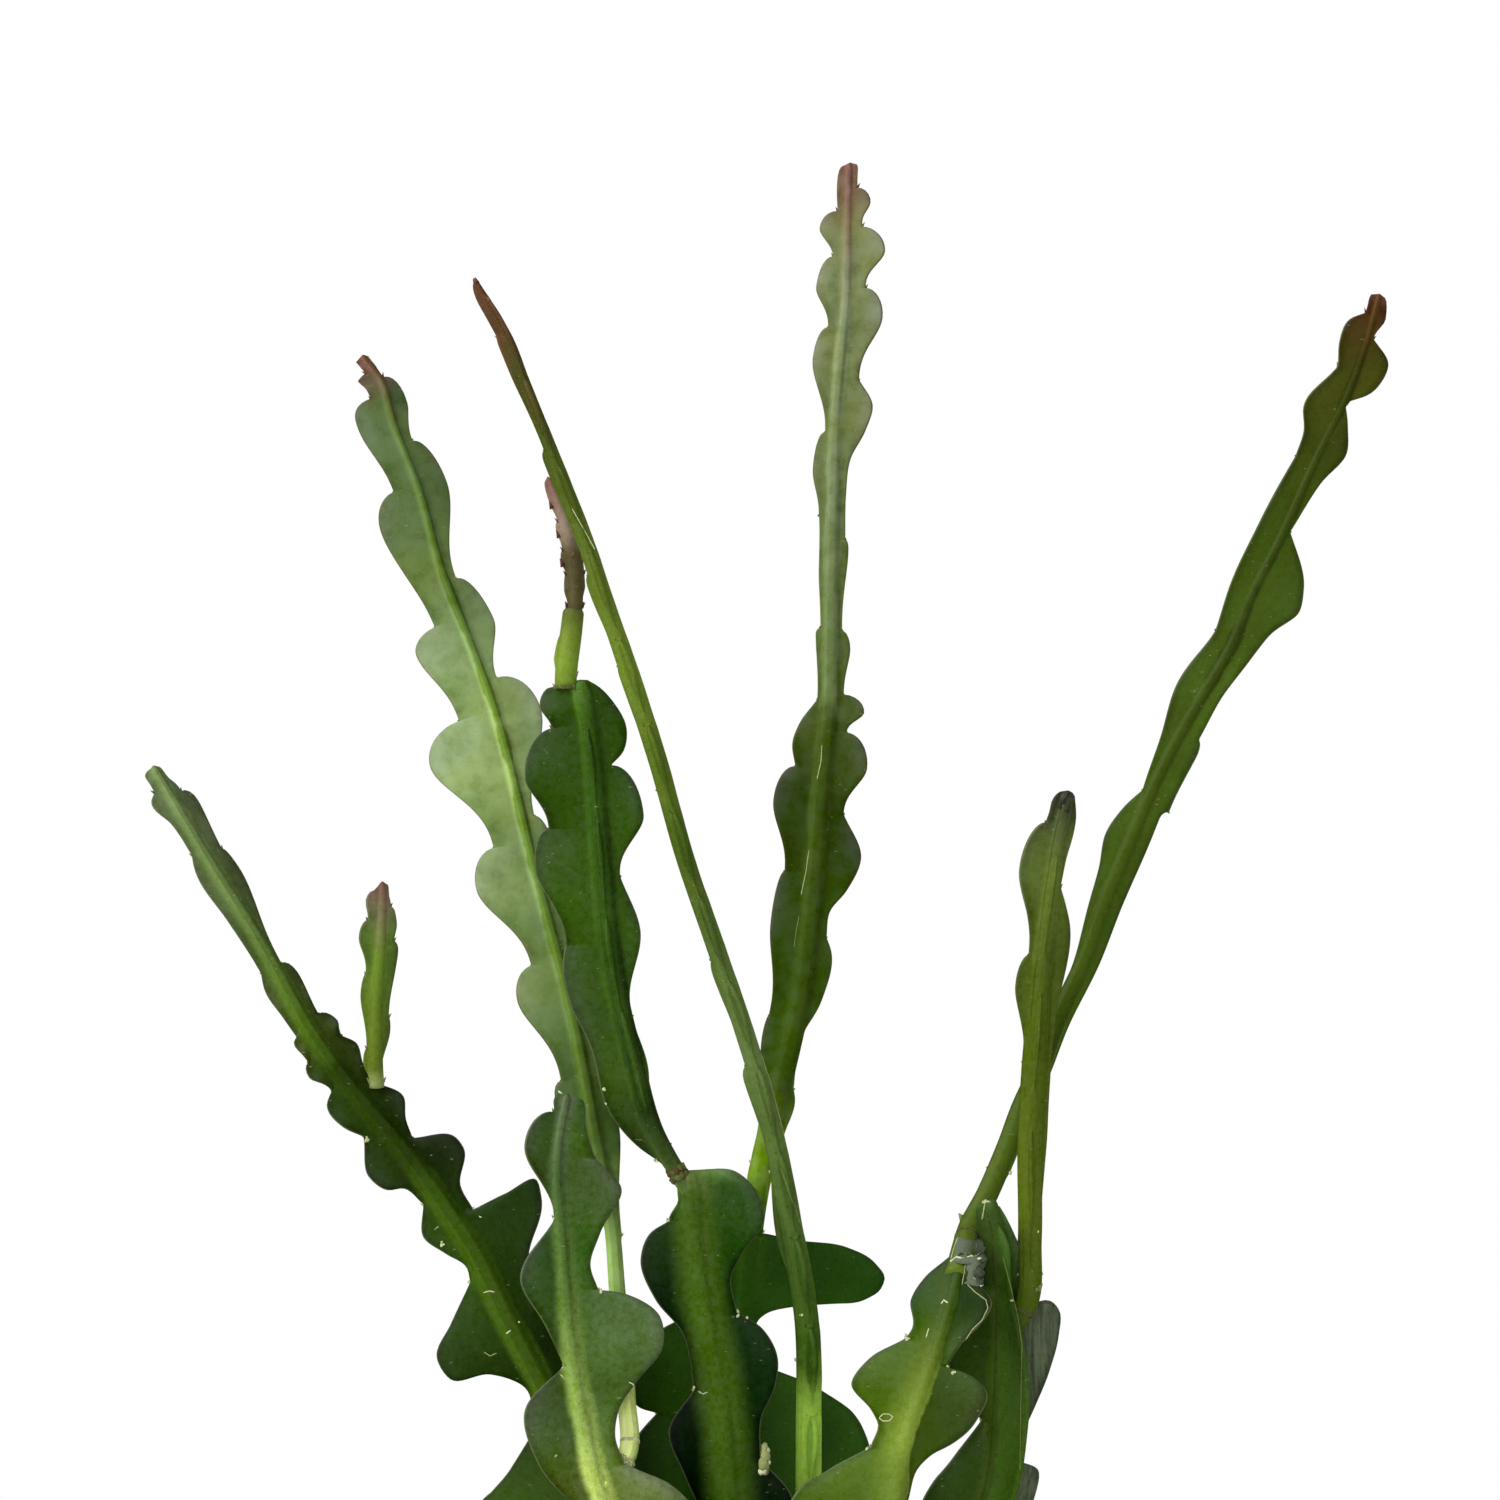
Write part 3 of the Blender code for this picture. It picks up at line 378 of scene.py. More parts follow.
def zip_strips(faces, first, first_at, second, second_at):
    """Triangles between two rows of points, each row with its distances along the stem."""
    i = j = 0
    while i < len(first) - 1 or j < len(second) - 1:
        first_next = first_at[i + 1] if i < len(first) - 1 else math.inf
        second_next = second_at[j + 1] if j < len(second) - 1 else math.inf
        if first_next <= second_next:
            faces.append((first[i], first[i + 1], second[j]))
            i += 1
        else:
            faces.append((first[i], second[j + 1], second[j]))
            j += 1


class Net:
    """Collects a mesh: points in millimetres with their named values, and faces."""

    def __init__(self):
        self.points = []
        self.values = []
        self.faces = []
        self.count = 0

    def add_row(self, points, **values):
        """Adds a row of points, and returns their numbers."""
        self.points.append(points)
        size = len(points)
        self.values.append({name: np.broadcast_to(value, size) for name, value in values.items()})
        numbers = np.arange(self.count, self.count + size)
        self.count += size
        return numbers

    def add_grid(self, rows):
        """Four-sided faces between rows of equal length."""
        for first, second in zip(rows, rows[1:]):
            quads = np.stack([first[:-1], first[1:], second[1:], second[:-1]], axis=1)
            self.faces.extend(map(tuple, quads.tolist()))

    def object(self, name):
        mesh = bpy.data.meshes.new(name)
        points = np.concatenate(self.points) * MM
        mesh.from_pydata(points.tolist(), [], self.faces)
        for value in self.values[0]:
            data = np.concatenate([row[value] for row in self.values]).astype(np.float32)
            mesh.attributes.new(value, "FLOAT", "POINT").data.foreach_set("value", data)
        built = bmesh.new()
        built.from_mesh(mesh)
        bmesh.ops.recalc_face_normals(built, faces=built.faces)
        built.to_mesh(mesh)
        built.free()
        mesh.shade_smooth()
        return new_object(name, mesh)


def new_object(name, data):
    made = bpy.data.objects.new(name, data)
    bpy.context.scene.collection.objects.link(made)
    return made


def finished(built, name):
    """A mesh from the points and faces that were built for it."""
    mesh = bpy.data.meshes.new(name)
    built.to_mesh(mesh)
    built.free()
    return mesh


def wave_at(s, index, beyond):
    """How far a wing waves out of its plane at distances beyond the core."""
    wave = WAVE_DEPTH * np.sin(2 * np.pi * s / WAVE_LENGTH + WAVE_SHIFT * index)
    return wave * np.clip(beyond / WAVE_REACH, 0.0, WAVE_MOST)


def root_distance(radius, angle, root_share):
    """How far from the stem's axis the wing's face begins, its root spread over an angle."""
    root = np.minimum(root_share * radius, ROOT_MOST)
    half = (root**FILLET + (radius * math.sin(angle)) ** FILLET) ** (1 / FILLET)
    return np.hypot(radius * math.cos(angle), half)


def wing_rows(net, spine, wing, lobes, index, angles, root_share):
    """The rows of one wing from its root round its margin to its other root."""
    edge = edge_points(lobes, spine)
    own, reach = edge[:, 0], edge[:, 1]
    notches = [lobe[0][0] for lobe in lobes]
    phase = np.interp(own, [0.0, *notches, spine.length], [-0.5, *range(len(notches)), len(notches) - 0.5])
    phase = phase - np.floor(phase)
    core = eased(edge, spine.length)
    reach = np.maximum(reach, spine.radius(own))
    edge_half = np.clip(spine.radius(own), LEAST_EDGE, BLADE_EDGE) / 2
    rimless = INLAND if faces_viewer(wing) else 0.0
    present = smooth_step((reach - spine.radius(own)) / FULL_WING)
    inner = reach - np.minimum(LAST_RIM + (edge_half - LAST_RIM) * present, 0.5 * reach)

    def half_at(out, radius, share):
        blade_root = np.clip(root_share * radius, edge_half, ROOT_MOST)
        blade = edge_half + (blade_root - edge_half) * (1 - share) ** THINNING
        chord = np.sqrt(np.clip(radius**2 - out**2, 0.0, None))
        return ((blade * present) ** FILLET + chord**FILLET) ** (1 / FILLET)

    def row(s, out, side):
        centre, _, right, back = spine.frames(s)
        turn = azimuth_at(wing, spine, s)[:, None]
        outward, across = ways(turn, right, back)
        radius = spine.radius(s)
        outer = np.clip((out - radius) / np.maximum(reach - radius, LEAN_REACH), 0.0, 1.0) ** LEAN_DELAY
        lean = wave_at(s, index, out - radius)
        lean -= LOBE_LEAN * np.cos(turn[:, 0]) * np.sin(2 * np.pi * phase) * outer
        return net.add_row(
            centre + out[:, None] * outward + (lean + side)[:, None] * across,
            along=s / spine.length, out_mm=out - radius, edge_mm=reach - out + rimless,
            side=np.cos(turn[:, 0]), lobe=phase,
        )

    rows = []
    for sign, angle in ((-1, angles[0]), (1, angles[1])):
        face = []
        for share in FACE_ROWS:
            s = core + (own - core) * share
            radius = spine.radius(s)
            root = radius * math.cos(angle)
            out = root + (inner - root) * share
            face.append(row(s, out, sign * half_at(out, radius, share)))
        rows.append(face)
    margin = []
    rim_half = half_at(inner, spine.radius(own), 1.0)
    for degrees in MARGIN_ANGLES:
        turn = math.radians(degrees)
        out = inner + (reach - inner) * math.cos(turn)
        margin.append(row(own, out, -rim_half * math.sin(turn)))
    return [*rows[0], *margin, *reversed(rows[1])], core, present


def shoot_object(name, shoot):
    """One stem or branch as a closed mesh with rounded blades."""
    spine = Spine(shoot)
    root_share = SOFT_RIBS.get(name, ROOT_SHARE)
    wings = wings_of(shoot)
    feet = [wing.azimuth[0] % 360 for wing in wings]
    gaps = [(feet[(i + 1) % len(feet)] - foot) % 360 for i, foot in enumerate(feet)]
    count = max(LEAST_STATIONS, round(spine.length / CORE_STEP))
    stations = np.linspace(0, spine.length - TIP_ROUND - BEFORE_TIP, count)
    stations = np.concatenate([stations, spine.length - np.array(TIP_STATIONS)])
    net = Net()
    strips = []
    for index, wing in enumerate(wings):
        lobes = lobes_of(wing, spine)
        angles = [math.radians(min(ROOT_ANGLE, GAP_SHARE * gap)) for gap in (gaps[index - 1], gaps[index])]
        rows, core, present = wing_rows(net, spine, wing, lobes, index, angles, root_share)
        net.add_grid(rows)
        strips.append((rows, core, angles, np.interp(stations, core, present)))
    dip = VALLEY_DIP if len(wings) > 2 else 0.0
    ring = []
    for index, (rows, core, angles, present) in enumerate(strips):
        following = (index + 1) % len(strips)
        next_rows, next_core, next_angles, next_present = strips[following]
        radius = spine.radius(stations)
        swell = root_distance(radius, (angles[1] + next_angles[0]) / 2, root_share) - radius
        radius = radius + swell * (present + next_present) / 2
        start = azimuth_at(wings[index], spine, stations) + angles[1]
        end = azimuth_at(wings[following], spine, stations) - next_angles[0]
        arc = (end - start) % (2 * math.pi)
        count = max(1, round(math.degrees(arc.mean()) / VALLEY_STEP))
        centre, _, right, back = spine.frames(stations)
        valley = []
        for k in range(count):
            share = (k + 1) / (count + 1)
            outward = ways((start + arc * share)[:, None], right, back)[0]
            away = (radius * (1 - dip * math.sin(math.pi * share)))[:, None]
            valley.append(net.add_row(centre + away * outward, along=stations / spine.length, **ON_STALK))
        net.add_grid(valley)
        zip_strips(net.faces, rows[-1], core, valley[0], stations)
        zip_strips(net.faces, valley[-1], stations, next_rows[0], next_core)
        ring.extend([*rows, *valley])
    for end in (0, -1):
        place = np.array([0.0 if end == 0 else spine.length])
        middle = net.add_row(spine.frames(place)[0], along=place / spine.length, **ON_STALK)[0]
        loop = [row[end] for row in ring]
        for first, second in zip(loop, loop[1:] + loop[:1]):
            net.faces.append((int(middle), int(first), int(second)))
    net.faces = [tuple(int(i) for i in face) for face in net.faces]
    return net.object(name)


def rooted(x, y):
    """The first centre points of a stem, which stands upright in the soil at (x, y)."""
    return [(x, y, float(z)) for z in np.linspace(ROOT_BOTTOM, ROOT_TOP, 4)]


def far_left_stem():
    """The stem that leans out furthest to the left, and the young shoot on its upper side."""
    spine = rooted(-36, 6) + seen([
        (-46, 0, 134), (-58, -9, 153), (-64.5, -15, 170), (-74, -19, 192), (-87, -20, 217.5),
        (-99.5, -19, 242), (-109, -18, 256), (-120, -16, 271), (-134.5, -13, 288), (-151, -10, 310.5),
        (-165, -6, 336), (-181, -2, 361.5), (-201, 4, 395),
    ])
    left = Wing((165, 190), [
        [(-50, 130), (-70, 126), (-90, 134), (-98, 150), (-87, 168)],
        [(-79, 182), (-82, 196), (-93, 200), (-106, 198.5), (-110.5, 205), (-106, 216)],
        [(-99.5, 229.5), (-100.5, 234), (-107.5, 239), (-114.5, 244)],
        [(-114.5, 254.5), (-120.5, 259.5), (-126, 259), (-132, 263.5)],
        [(-133.5, 276), (-140, 279), (-145.5, 286.5)], [(-144, 291), (-151, 295)],
        [(-151.5, 300), (-155.5, 305)], [(-155, 308), (-159, 313.5), (-165.5, 324)],
        [(-166.5, 328.5), (-177.5, 345.5), (-188, 363)], [(-188.5, 366), (-195, 376), (-201.5, 384)],
        [(-200.5, 386), (-203.5, 391.5)], [(-202, 394)],
    ])
    right = Wing((-15, 10), [
        [(-50, 138), (-50, 158)], [(-62, 178), (-60, 186)],
        [(-64, 192), (-66, 203), (-72.5, 216), (-80.5, 230), (-81, 238), (-77, 257.5), (-78, 262),
         (-88, 258)], [(-98.5, 253), (-102.5, 260.5), (-101.5, 272.5), (-104, 276)],
        [(-118, 276), (-120, 281.5), (-121, 289.5)], [(-131.5, 294.5), (-134, 300), (-136, 306.5)],
        [(-140.5, 308.5), (-142, 313.5)], [(-148, 315.5), (-154, 328)], [(-160, 332), (-173, 362)],
        [(-179, 368.5), (-186.5, 384.5)], [(-192, 387), (-197, 392.5)], [(-199.5, 395)],
    ])
    behind = HiddenWing((75, 75), 34, 13, 5, 40)
    main = Shoot(spine, (4.5, 4.0, 1.4), [left, right, behind])
    young = Shoot(
        seen([
            (-129.4, -13, 292), (-129.8, -14, 300), (-129.6, -15, 320), (-128.3, -16, 339),
            (-127.6, -17, 358),
        ]),
        (3.0, 2.7, 1.4),
        [
            Wing((180, 200), [
                [(-131.6, 294), (-133.8, 299.5)], [(-132.7, 304.5), (-134.5, 322)],
                [(-133, 328.5), (-135, 340)], [(-132.5, 345.5), (-133, 350)], [(-130.5, 355)],
            ]),
            Wing((0, 20), [
                [(-128, 294), (-125, 311)], [(-125.6, 314.5), (-122.5, 335)], [(-124, 339), (-123, 345)],
                [(-125, 350), (-125.5, 354)], [(-126, 357)],
            ]),
        ],
    )
    return [main, young]


def front_left_stem():
    """The short stem in front on the left, and the long pale blade from its lowest notch."""
    spine = rooted(-35, -31) + seen([
        (-43, -35, 134), (-51, -40, 148), (-57, -43, 160), (-63.5, -45, 185.5), (-67.5, -45, 211),
        (-70, -44, 240), (-71.5, -42, 272), (-68.5, -40, 290),
    ])
    left = Wing((180, 195), [
        [(-45, 126), (-66, 148)], [(-66, 158), (-78, 172), (-82, 188)],
        [(-69.5, 203), (-76, 216), (-83.5, 230)], [(-72.5, 250), (-82, 273.5)], [(-73, 284), (-73, 287)],
        [(-71, 290)],
    ])
    right = Wing((-12, 5), [
        [(-34, 126), (-25, 138), (-22, 151), (-30, 161), (-38, 167)],
        [(-50, 172), (-53, 181), (-51.5, 190), (-46, 198), (-38, 209), (-39, 219), (-50, 226)],
        [(-58.5, 227.5), (-61, 235), (-58, 245), (-51, 259.5)],
        [(-59.5, 269.5), (-62.5, 280), (-63.5, 288)], [(-65, 290)],
    ])
    main = Shoot(spine, (4.5, 4.2, 3.0), [left, right])
    blade_spine = seen([
        (-58, -43, 164), (-49.5, -40, 174), (-49.5, -34, 192), (-52.5, -29, 227), (-54, -26, 246),
        (-59, -22, 275), (-67, -16, 317), (-79.5, -8, 365), (-91, -2, 411), (-99.5, 1, 435),
        (-108.5, 3, 458), (-115.5, 5, 483), (-124, 8, 505.5), (-128, 9, 519), (-134, 10, 526.5),
    ])
    blade_left = Wing((186, 174), [
        [(-57, 248), (-72.5, 289)], [(-70.5, 294), (-84.5, 320)], [(-80, 331), (-97.5, 355)],
        [(-92, 368.5), (-112.5, 395)], [(-103, 409), (-117, 430.5)], [(-111, 439.5), (-128.5, 471)],
        [(-124, 482.5), (-136.5, 505.5)], [(-131.5, 512.5), (-135.5, 518)], [(-133, 520.5), (-136, 524)],
        [(-135, 526)],
    ])
    blade_right = Wing((-6, 8), [
        [(-51, 245), (-52, 280)], [(-56.5, 291), (-58, 306)], [(-63.5, 322), (-62, 338)],
        [(-71, 354), (-71, 365)], [(-79, 379), (-77, 414)], [(-91, 423), (-92, 442)],
        [(-104, 455), (-107, 486)], [(-118, 499), (-119.5, 511)], [(-127.5, 519), (-130.5, 524)],
        [(-132, 526)],
    ])
    blade = Shoot(blade_spine, (3.2, 2.9, 1.3), [blade_left, blade_right])
    return [main, blade]


def centre_stem():
    """The broad dark stem in the middle, with the branch and the shoots that grow from its top."""
    spine = rooted(-14, -21) + seen([
        (-14, -24, 136), (-16, -28, 160), (-20, -30, 195), (-26, -30, 227), (-29, -29, 256),
        (-30, -29, 265.5),
    ])
    left = Wing((170, 195), [
        [(-19, 128), (-31, 145)], [(-25, 155), (-31, 168), (-36, 182)],
        [(-28, 195), (-32.5, 214.5), (-40.5, 224.5), (-45, 237), (-42, 245)], [(-36, 249.5), (-33, 256)],
        [(-32.5, 264)],
    ])
    right = Wing((-15, 10), [
        [(-8, 128), (4, 138), (5, 150), (3, 162)],
        [(-6.5, 173), (-6, 187), (-2, 196), (-1, 205), (-6, 215)],
        [(-14, 220), (-16, 232), (-12.5, 239), (-5.5, 250), (-7.5, 258.5), (-14.5, 265)], [(-26, 266)],
    ])
    main = Shoot(spine, (4.5, 4.6, 4.0), [left, right])
    branch_spine = seen([
        (-29, -29, 258), (-34, -30, 266), (-40, -33, 277), (-47, -37, 301), (-53, -40, 326),
        (-57.5, -43, 365), (-61, -44, 403), (-64.5, -44, 422.5),
    ])
    branch_left = Wing((186, 174), [
        [(-40, 269), (-45, 272.5), (-55.5, 285), (-61.5, 306), (-68, 320), (-70, 331)],
        [(-69, 338.5), (-79, 362)], [(-74.5, 375), (-82, 391)], [(-73.5, 407), (-77.5, 414)],
        [(-72, 422.5)],
    ])
    branch_right = Wing((-4, 6), [
        [(-37, 273), (-42, 285), (-42.5, 298)], [(-48, 315), (-48.5, 321), (-45, 342)],
        [(-51.5, 359.5), (-44, 379)],
        [(-54.5, 395), (-50.5, 400), (-49.5, 407), (-53.5, 415.5), (-58, 420)], [(-62, 422.5)],
    ])
    ridge = HiddenWing((-88, -96), 30, 7.5, 4.5, 34)
    branch = Shoot(branch_spine, (3.0, 3.6, 3.0), [branch_left, branch_right, ridge])
    segment = Shoot(
        seen([
            (-69, -44, 419.5), (-68.9, -43.5, 424), (-68.3, -43, 430), (-67.2, -42, 438),
            (-66.3, -42, 446),
        ]),
        (3.3, 3.3, 2.9),
        [
            Wing((180, 180), [[(-70, 420), (-72.8, 429)], [(-70.6, 437)]]),
            Wing((0, 0), [[(-66, 420), (-65.4, 429)], [(-64.4, 436)]]),
        ],
    )
    red_shoot = Shoot(
        seen([
            (-66.3, -42, 442), (-65.8, -42, 447), (-66, -41, 455), (-67.8, -40, 467), (-71.8, -39, 480),
            (-74.8, -38, 487.5),
        ]),
        (2.4, 2.7, 1.0),
        [
            Wing((180, 180), [
                [(-68.5, 446), (-69.5, 451)], [(-69, 456), (-70.5, 460)], [(-70, 464), (-72, 470)],
                [(-71.5, 473), (-74, 478.5)], [(-75.5, 486)],
            ]),
            Wing((0, 0), [
                [(-64.5, 446), (-62.7, 452)], [(-63, 457), (-64, 465)], [(-66, 471), (-69, 478)],
                [(-72, 485)],
            ]),
        ],
    )
    return [main, branch, segment, red_shoot]


def edge_on_stem():
    """The long stem that leans to the left and towards the viewer, seen on its thin edge."""
    spine = rooted(8, -10) + seen([
        (8.5, -10, 140), (8.8, -10, 178), (8.9, -12, 205), (8.2, -14, 218), (6.2, -16, 231.5),
        (3.7, -18, 245), (1.4, -21, 258), (-4.2, -29, 285), (-12.2, -35, 311.5), (-21.2, -41, 338),
        (-30.5, -47, 365), (-39.5, -53, 397), (-48, -58, 423.5), (-57, -63, 450), (-61.3, -65, 463.5),
        (-71.3, -69, 490), (-81.7, -72, 517), (-87.5, -73, 532.5), (-93.2, -74, 542.5),
        (-98.5, -75, 551),
    ])
    side = Wing((180, 180), [
        [(4.6, 140), (4.7, 190)], [(4.8, 205), (2.8, 230), (-1.4, 243), (-3, 257)],
        [(-3.3, 265), (-12, 294)], [(-11, 299), (-22, 328)], [(-22, 333), (-39, 384)],
        [(-39.5, 387), (-52, 424)], [(-52, 427), (-62, 452)], [(-62, 456), (-76, 492)],
        [(-76, 496), (-90, 528)], [(-91, 532), (-96, 541)], [(-98, 550)],
    ])
    front = HiddenWing((-76, -84), 29, 10.5, 4.5, 36)
    behind = HiddenWing((98, 90), 29, 10.5, 4.5, 50)
    core = (4.5, 4.2, 4.0, 3.2, 3.0, 3.2, 2.4, 0.9)
    return [Shoot(spine, core, [side, front, behind])]


def back_stem():
    """The very dark mature stem behind the middle, and the tall blade that stands on it."""
    spine = rooted(-15, 12) + seen([
        (-17, 12, 140), (-17.5, 12, 160), (-14.5, 13, 192), (-11.5, 14, 224), (-10.5, 14, 246),
    ])
    left = Wing((188, 195), [
        [(-21, 128), (-38, 146), (-49, 159), (-50.5, 170), (-46, 180)],
        [(-39.5, 188), (-45.5, 190), (-49, 198), (-43, 211)], [(-24, 222), (-26, 235)], [(-13, 246)],
    ])
    right = Wing((12, 22), [
        [(-11, 128), (8, 144), (22, 160), (29.5, 175), (26.5, 183), (13, 195)],
        [(-8, 204), (-8, 218.5), (-1.5, 221.5), (12, 222.2), (28, 223.7), (33, 226.5), (34.5, 230),
         (31.5, 235),(22, 240),(6, 243)], [(-8, 246)],
    ])
    main = Shoot(spine, (4.5, 4.8, 4.0), [left, right])
    blade_spine = seen([
        (-12.5, 14, 226), (-10, 14, 243), (-6, 14, 269), (-0.5, 15, 291), (6, 16, 320), (10, 18, 352),
        (12.5, 20, 384), (15.5, 22, 416), (16, 24, 448), (16.5, 25, 467), (18, 27, 512), (19.5, 28, 528),
        (21, 29, 544), (21.5, 30, 566.5), (22, 31, 588),
    ])
    blade_left = Wing((195, 165), [
        [(-13.5, 240), (-10.8, 264)], [(-9.5, 268), (-5.5, 311)], [(-4, 315), (-3.5, 344)],
        [(1, 361), (-2.5, 384)], [(4.5, 395), (3.5, 402), (6, 409)], [(11.5, 416), (11, 437)],
        [(12.5, 439), (12, 458)], [(12, 475), (10, 490)], [(14, 502), (10, 525.5)],
        [(15, 535.5), (11, 548.5)], [(16.5, 558), (12, 567)], [(18, 572.5), (17.8, 582)], [(20, 587)],
    ])
    blade_right = Wing((8, -18), [
        [(-6, 246), (-4, 258), (1, 277), (4.5, 289)], [(4, 291.5), (6, 307), (13, 320), (16, 336)],
        [(14.5, 340), (15.5, 348), (21, 355), (25.5, 365)], [(20, 379.5), (27.5, 394)],
        [(21, 405.5), (26.5, 412)], [(20, 418), (22, 432)], [(19.5, 438), (21.5, 464.5)],
        [(20.5, 467.5), (20.8, 482), (22.2, 493), (26.8, 502), (29.2, 510)], [(25, 518.5), (32, 538)],
        [(27, 548), (33, 559.5)], [(26, 567.5), (28.5, 575)], [(24.5, 580), (24.5, 586)], [(23.5, 588)],
    ])
    blade = Shoot(blade_spine, (4.2, 3.4, 1.7), [blade_left, blade_right])
    return [main, blade]


def front_right_stem():
    """The bright stem in front on the right, and the long branch that arches up from it."""
    spine = rooted(21, -32) + seen([
        (27, -37, 137), (36.5, -44, 160), (40, -45, 179), (44.5, -44, 192), (49, -41, 205),
        (55.5, -34, 227), (58, -29, 239),
    ])
    left = Wing((192, 170), [
        [(22, 126), (8, 136), (-1, 150), (2, 161), (15.5, 170)],
        [(28.5, 177), (31, 184), (29, 188), (22.5, 197), (28, 205.5)],
        [(40, 212), (42, 215), (41.5, 224.5), (46, 233)], [(53.5, 238)],
    ])
    right = Wing((15, -20), [
        [(33, 130), (44, 147)],
        [(40, 158), (43.5, 169.5), (47.5, 174), (55, 178), (62.5, 185), (66, 193), (62, 198)],
        [(53, 202), (58.5, 210), (63.5, 215.5), (66.8, 222.5), (64, 227)], [(61.5, 230), (64, 236)],
        [(62, 240)],
    ])
    main = Shoot(spine, (4.5, 4.2, 3.6), [left, right])
    branch_spine = seen([
        (56, -32, 231), (58.5, -22, 241), (60.5, -13, 247.5), (66, -4, 258), (72.3, 1, 273),
        (77, 4, 286), (81.5, 6, 296), (88, 8, 313.5), (97, 9, 333), (104, 8, 352), (112, 6, 371),
        (118.5, 5, 387), (134, 2, 416), (143.5, 0, 432), (151.5, -2, 451), (159.5, -3, 467),
        (172.5, -6, 496), (180.5, -8, 512), (188.5, -10, 534.5), (191.5, -10, 546),
    ])
    branch_left = Wing((160, 185), [
        [(67, 266), (90, 323), (97, 345.5), (101.5, 362), (104, 374), (109, 381)],
        [(115.5, 387), (121, 403), (126.5, 421)], [(139, 438.5), (147, 461), (154, 475)],
        [(164.5, 494), (167, 502), (167, 510)], [(178, 523), (178.5, 531), (182, 538)],
        [(187, 540), (188, 544)], [(190, 547)],
    ])
    branch_right = Wing((-25, 12), [
        [(73, 264), (121, 378)], [(124, 380), (132.5, 397)],
        [(133.5, 403), (144, 421), (156, 436), (166, 444), (167.5, 452)],
        [(163, 470), (172.5, 485), (181.5, 495), (181.5, 503)],
        [(180.5, 511), (190, 515.5), (194.5, 523)], [(189.5, 531.5), (193.5, 538)], [(192.5, 545)],
    ])
    branch = Shoot(branch_spine, (4.0, 3.4, 1.4), [branch_left, branch_right])
    return [main, branch]


def right_stem():
    """The three-angled stem on the right, and the short branch that stands up from it."""
    spine = rooted(41, -4) + seen([
        (51, -5, 135), (62, -7, 149), (67, -8, 162), (70, -9, 192), (70.5, -10, 224), (69.5, -17, 242),
        (66.5, -27, 256),
    ])
    left = Wing((180, 185), [
        [(46, 132), (42, 147), (45, 160), (55.5, 174)], [(64, 185.5), (57, 194), (52, 205), (57, 219)],
        [(64.5, 229), (63.5, 240)], [(63, 254)],
    ])
    front = Wing((-62, -62), [
        [(53, 134), (74.5, 160), (77, 180), (78, 199), (76, 218)], [(74, 226), (73, 236)], [(69, 250)],
    ])
    right = Wing((35, 30), [
        [(54, 132), (74, 146), (82.5, 160), (83.3, 168)],
        [(76.4, 172), (76.6, 179), (80.7, 190), (86, 201.5), (89.7, 212), (90.3, 218), (87, 221.5)],
        [(81, 221), (79, 233), (75, 243)], [(70, 253)],
    ])
    main = Shoot(spine, (4.5, 4.4, 2.6), [left, front, right])
    branch_spine = seen([
        (72, -10, 213), (78, -11, 222), (79.5, -12, 243), (79.5, -13, 272), (81.5, -15, 307),
        (83.5, -16, 333), (86.5, -18, 358), (89, -20, 374), (92, -22, 387),
    ])
    branch_left = Wing((180, 200), [
        [(76, 232), (75.8, 270)], [(77.5, 300), (75, 324.5)], [(79, 334.5), (76.5, 362)],
        [(84.5, 377), (86, 382)], [(90, 387)],
    ])
    branch_ridge = HiddenWing((-88, -80), 44, 6.5, 4.4, 24)
    branch_right = Wing((15, 25), [
        [(82.5, 232), (85.5, 280)], [(86.5, 303), (88, 317), (93, 343.5)],
        [(89.5, 356), (91, 364), (94.5, 378)], [(94, 385)],
    ])
    branch = Shoot(branch_spine, (3.7, 4.0, 2.4), [branch_left, branch_ridge, branch_right])
    return [main, branch]


# The wool at the notches
WOOL_RADIUS = 0.62
BRISTLE_LENGTH = 1.5
BRISTLE_RADIUS = 0.07
BRACT_LENGTH = 1.9
BRACT_RADIUS = 0.75

# Notches this near to the tip or to the soil stay bare. Wool below this height is old. Notches this
# near to the tip have scales, and the last of them are brown. Young shoots have scales all along.
NOTCH_FROM_TIP = 2
CLEAR_OF_SOIL = 8
OLD_BELOW = 270
SCALY_TIP = 45
BROWN_TIP = 16
YOUNG_SHOOTS = ("far_left_shoot", "red_shoot", "light_segment")

# How far a mark may move, in photo pixels, to lie on its shoot
SEARCH_PIXELS = 18

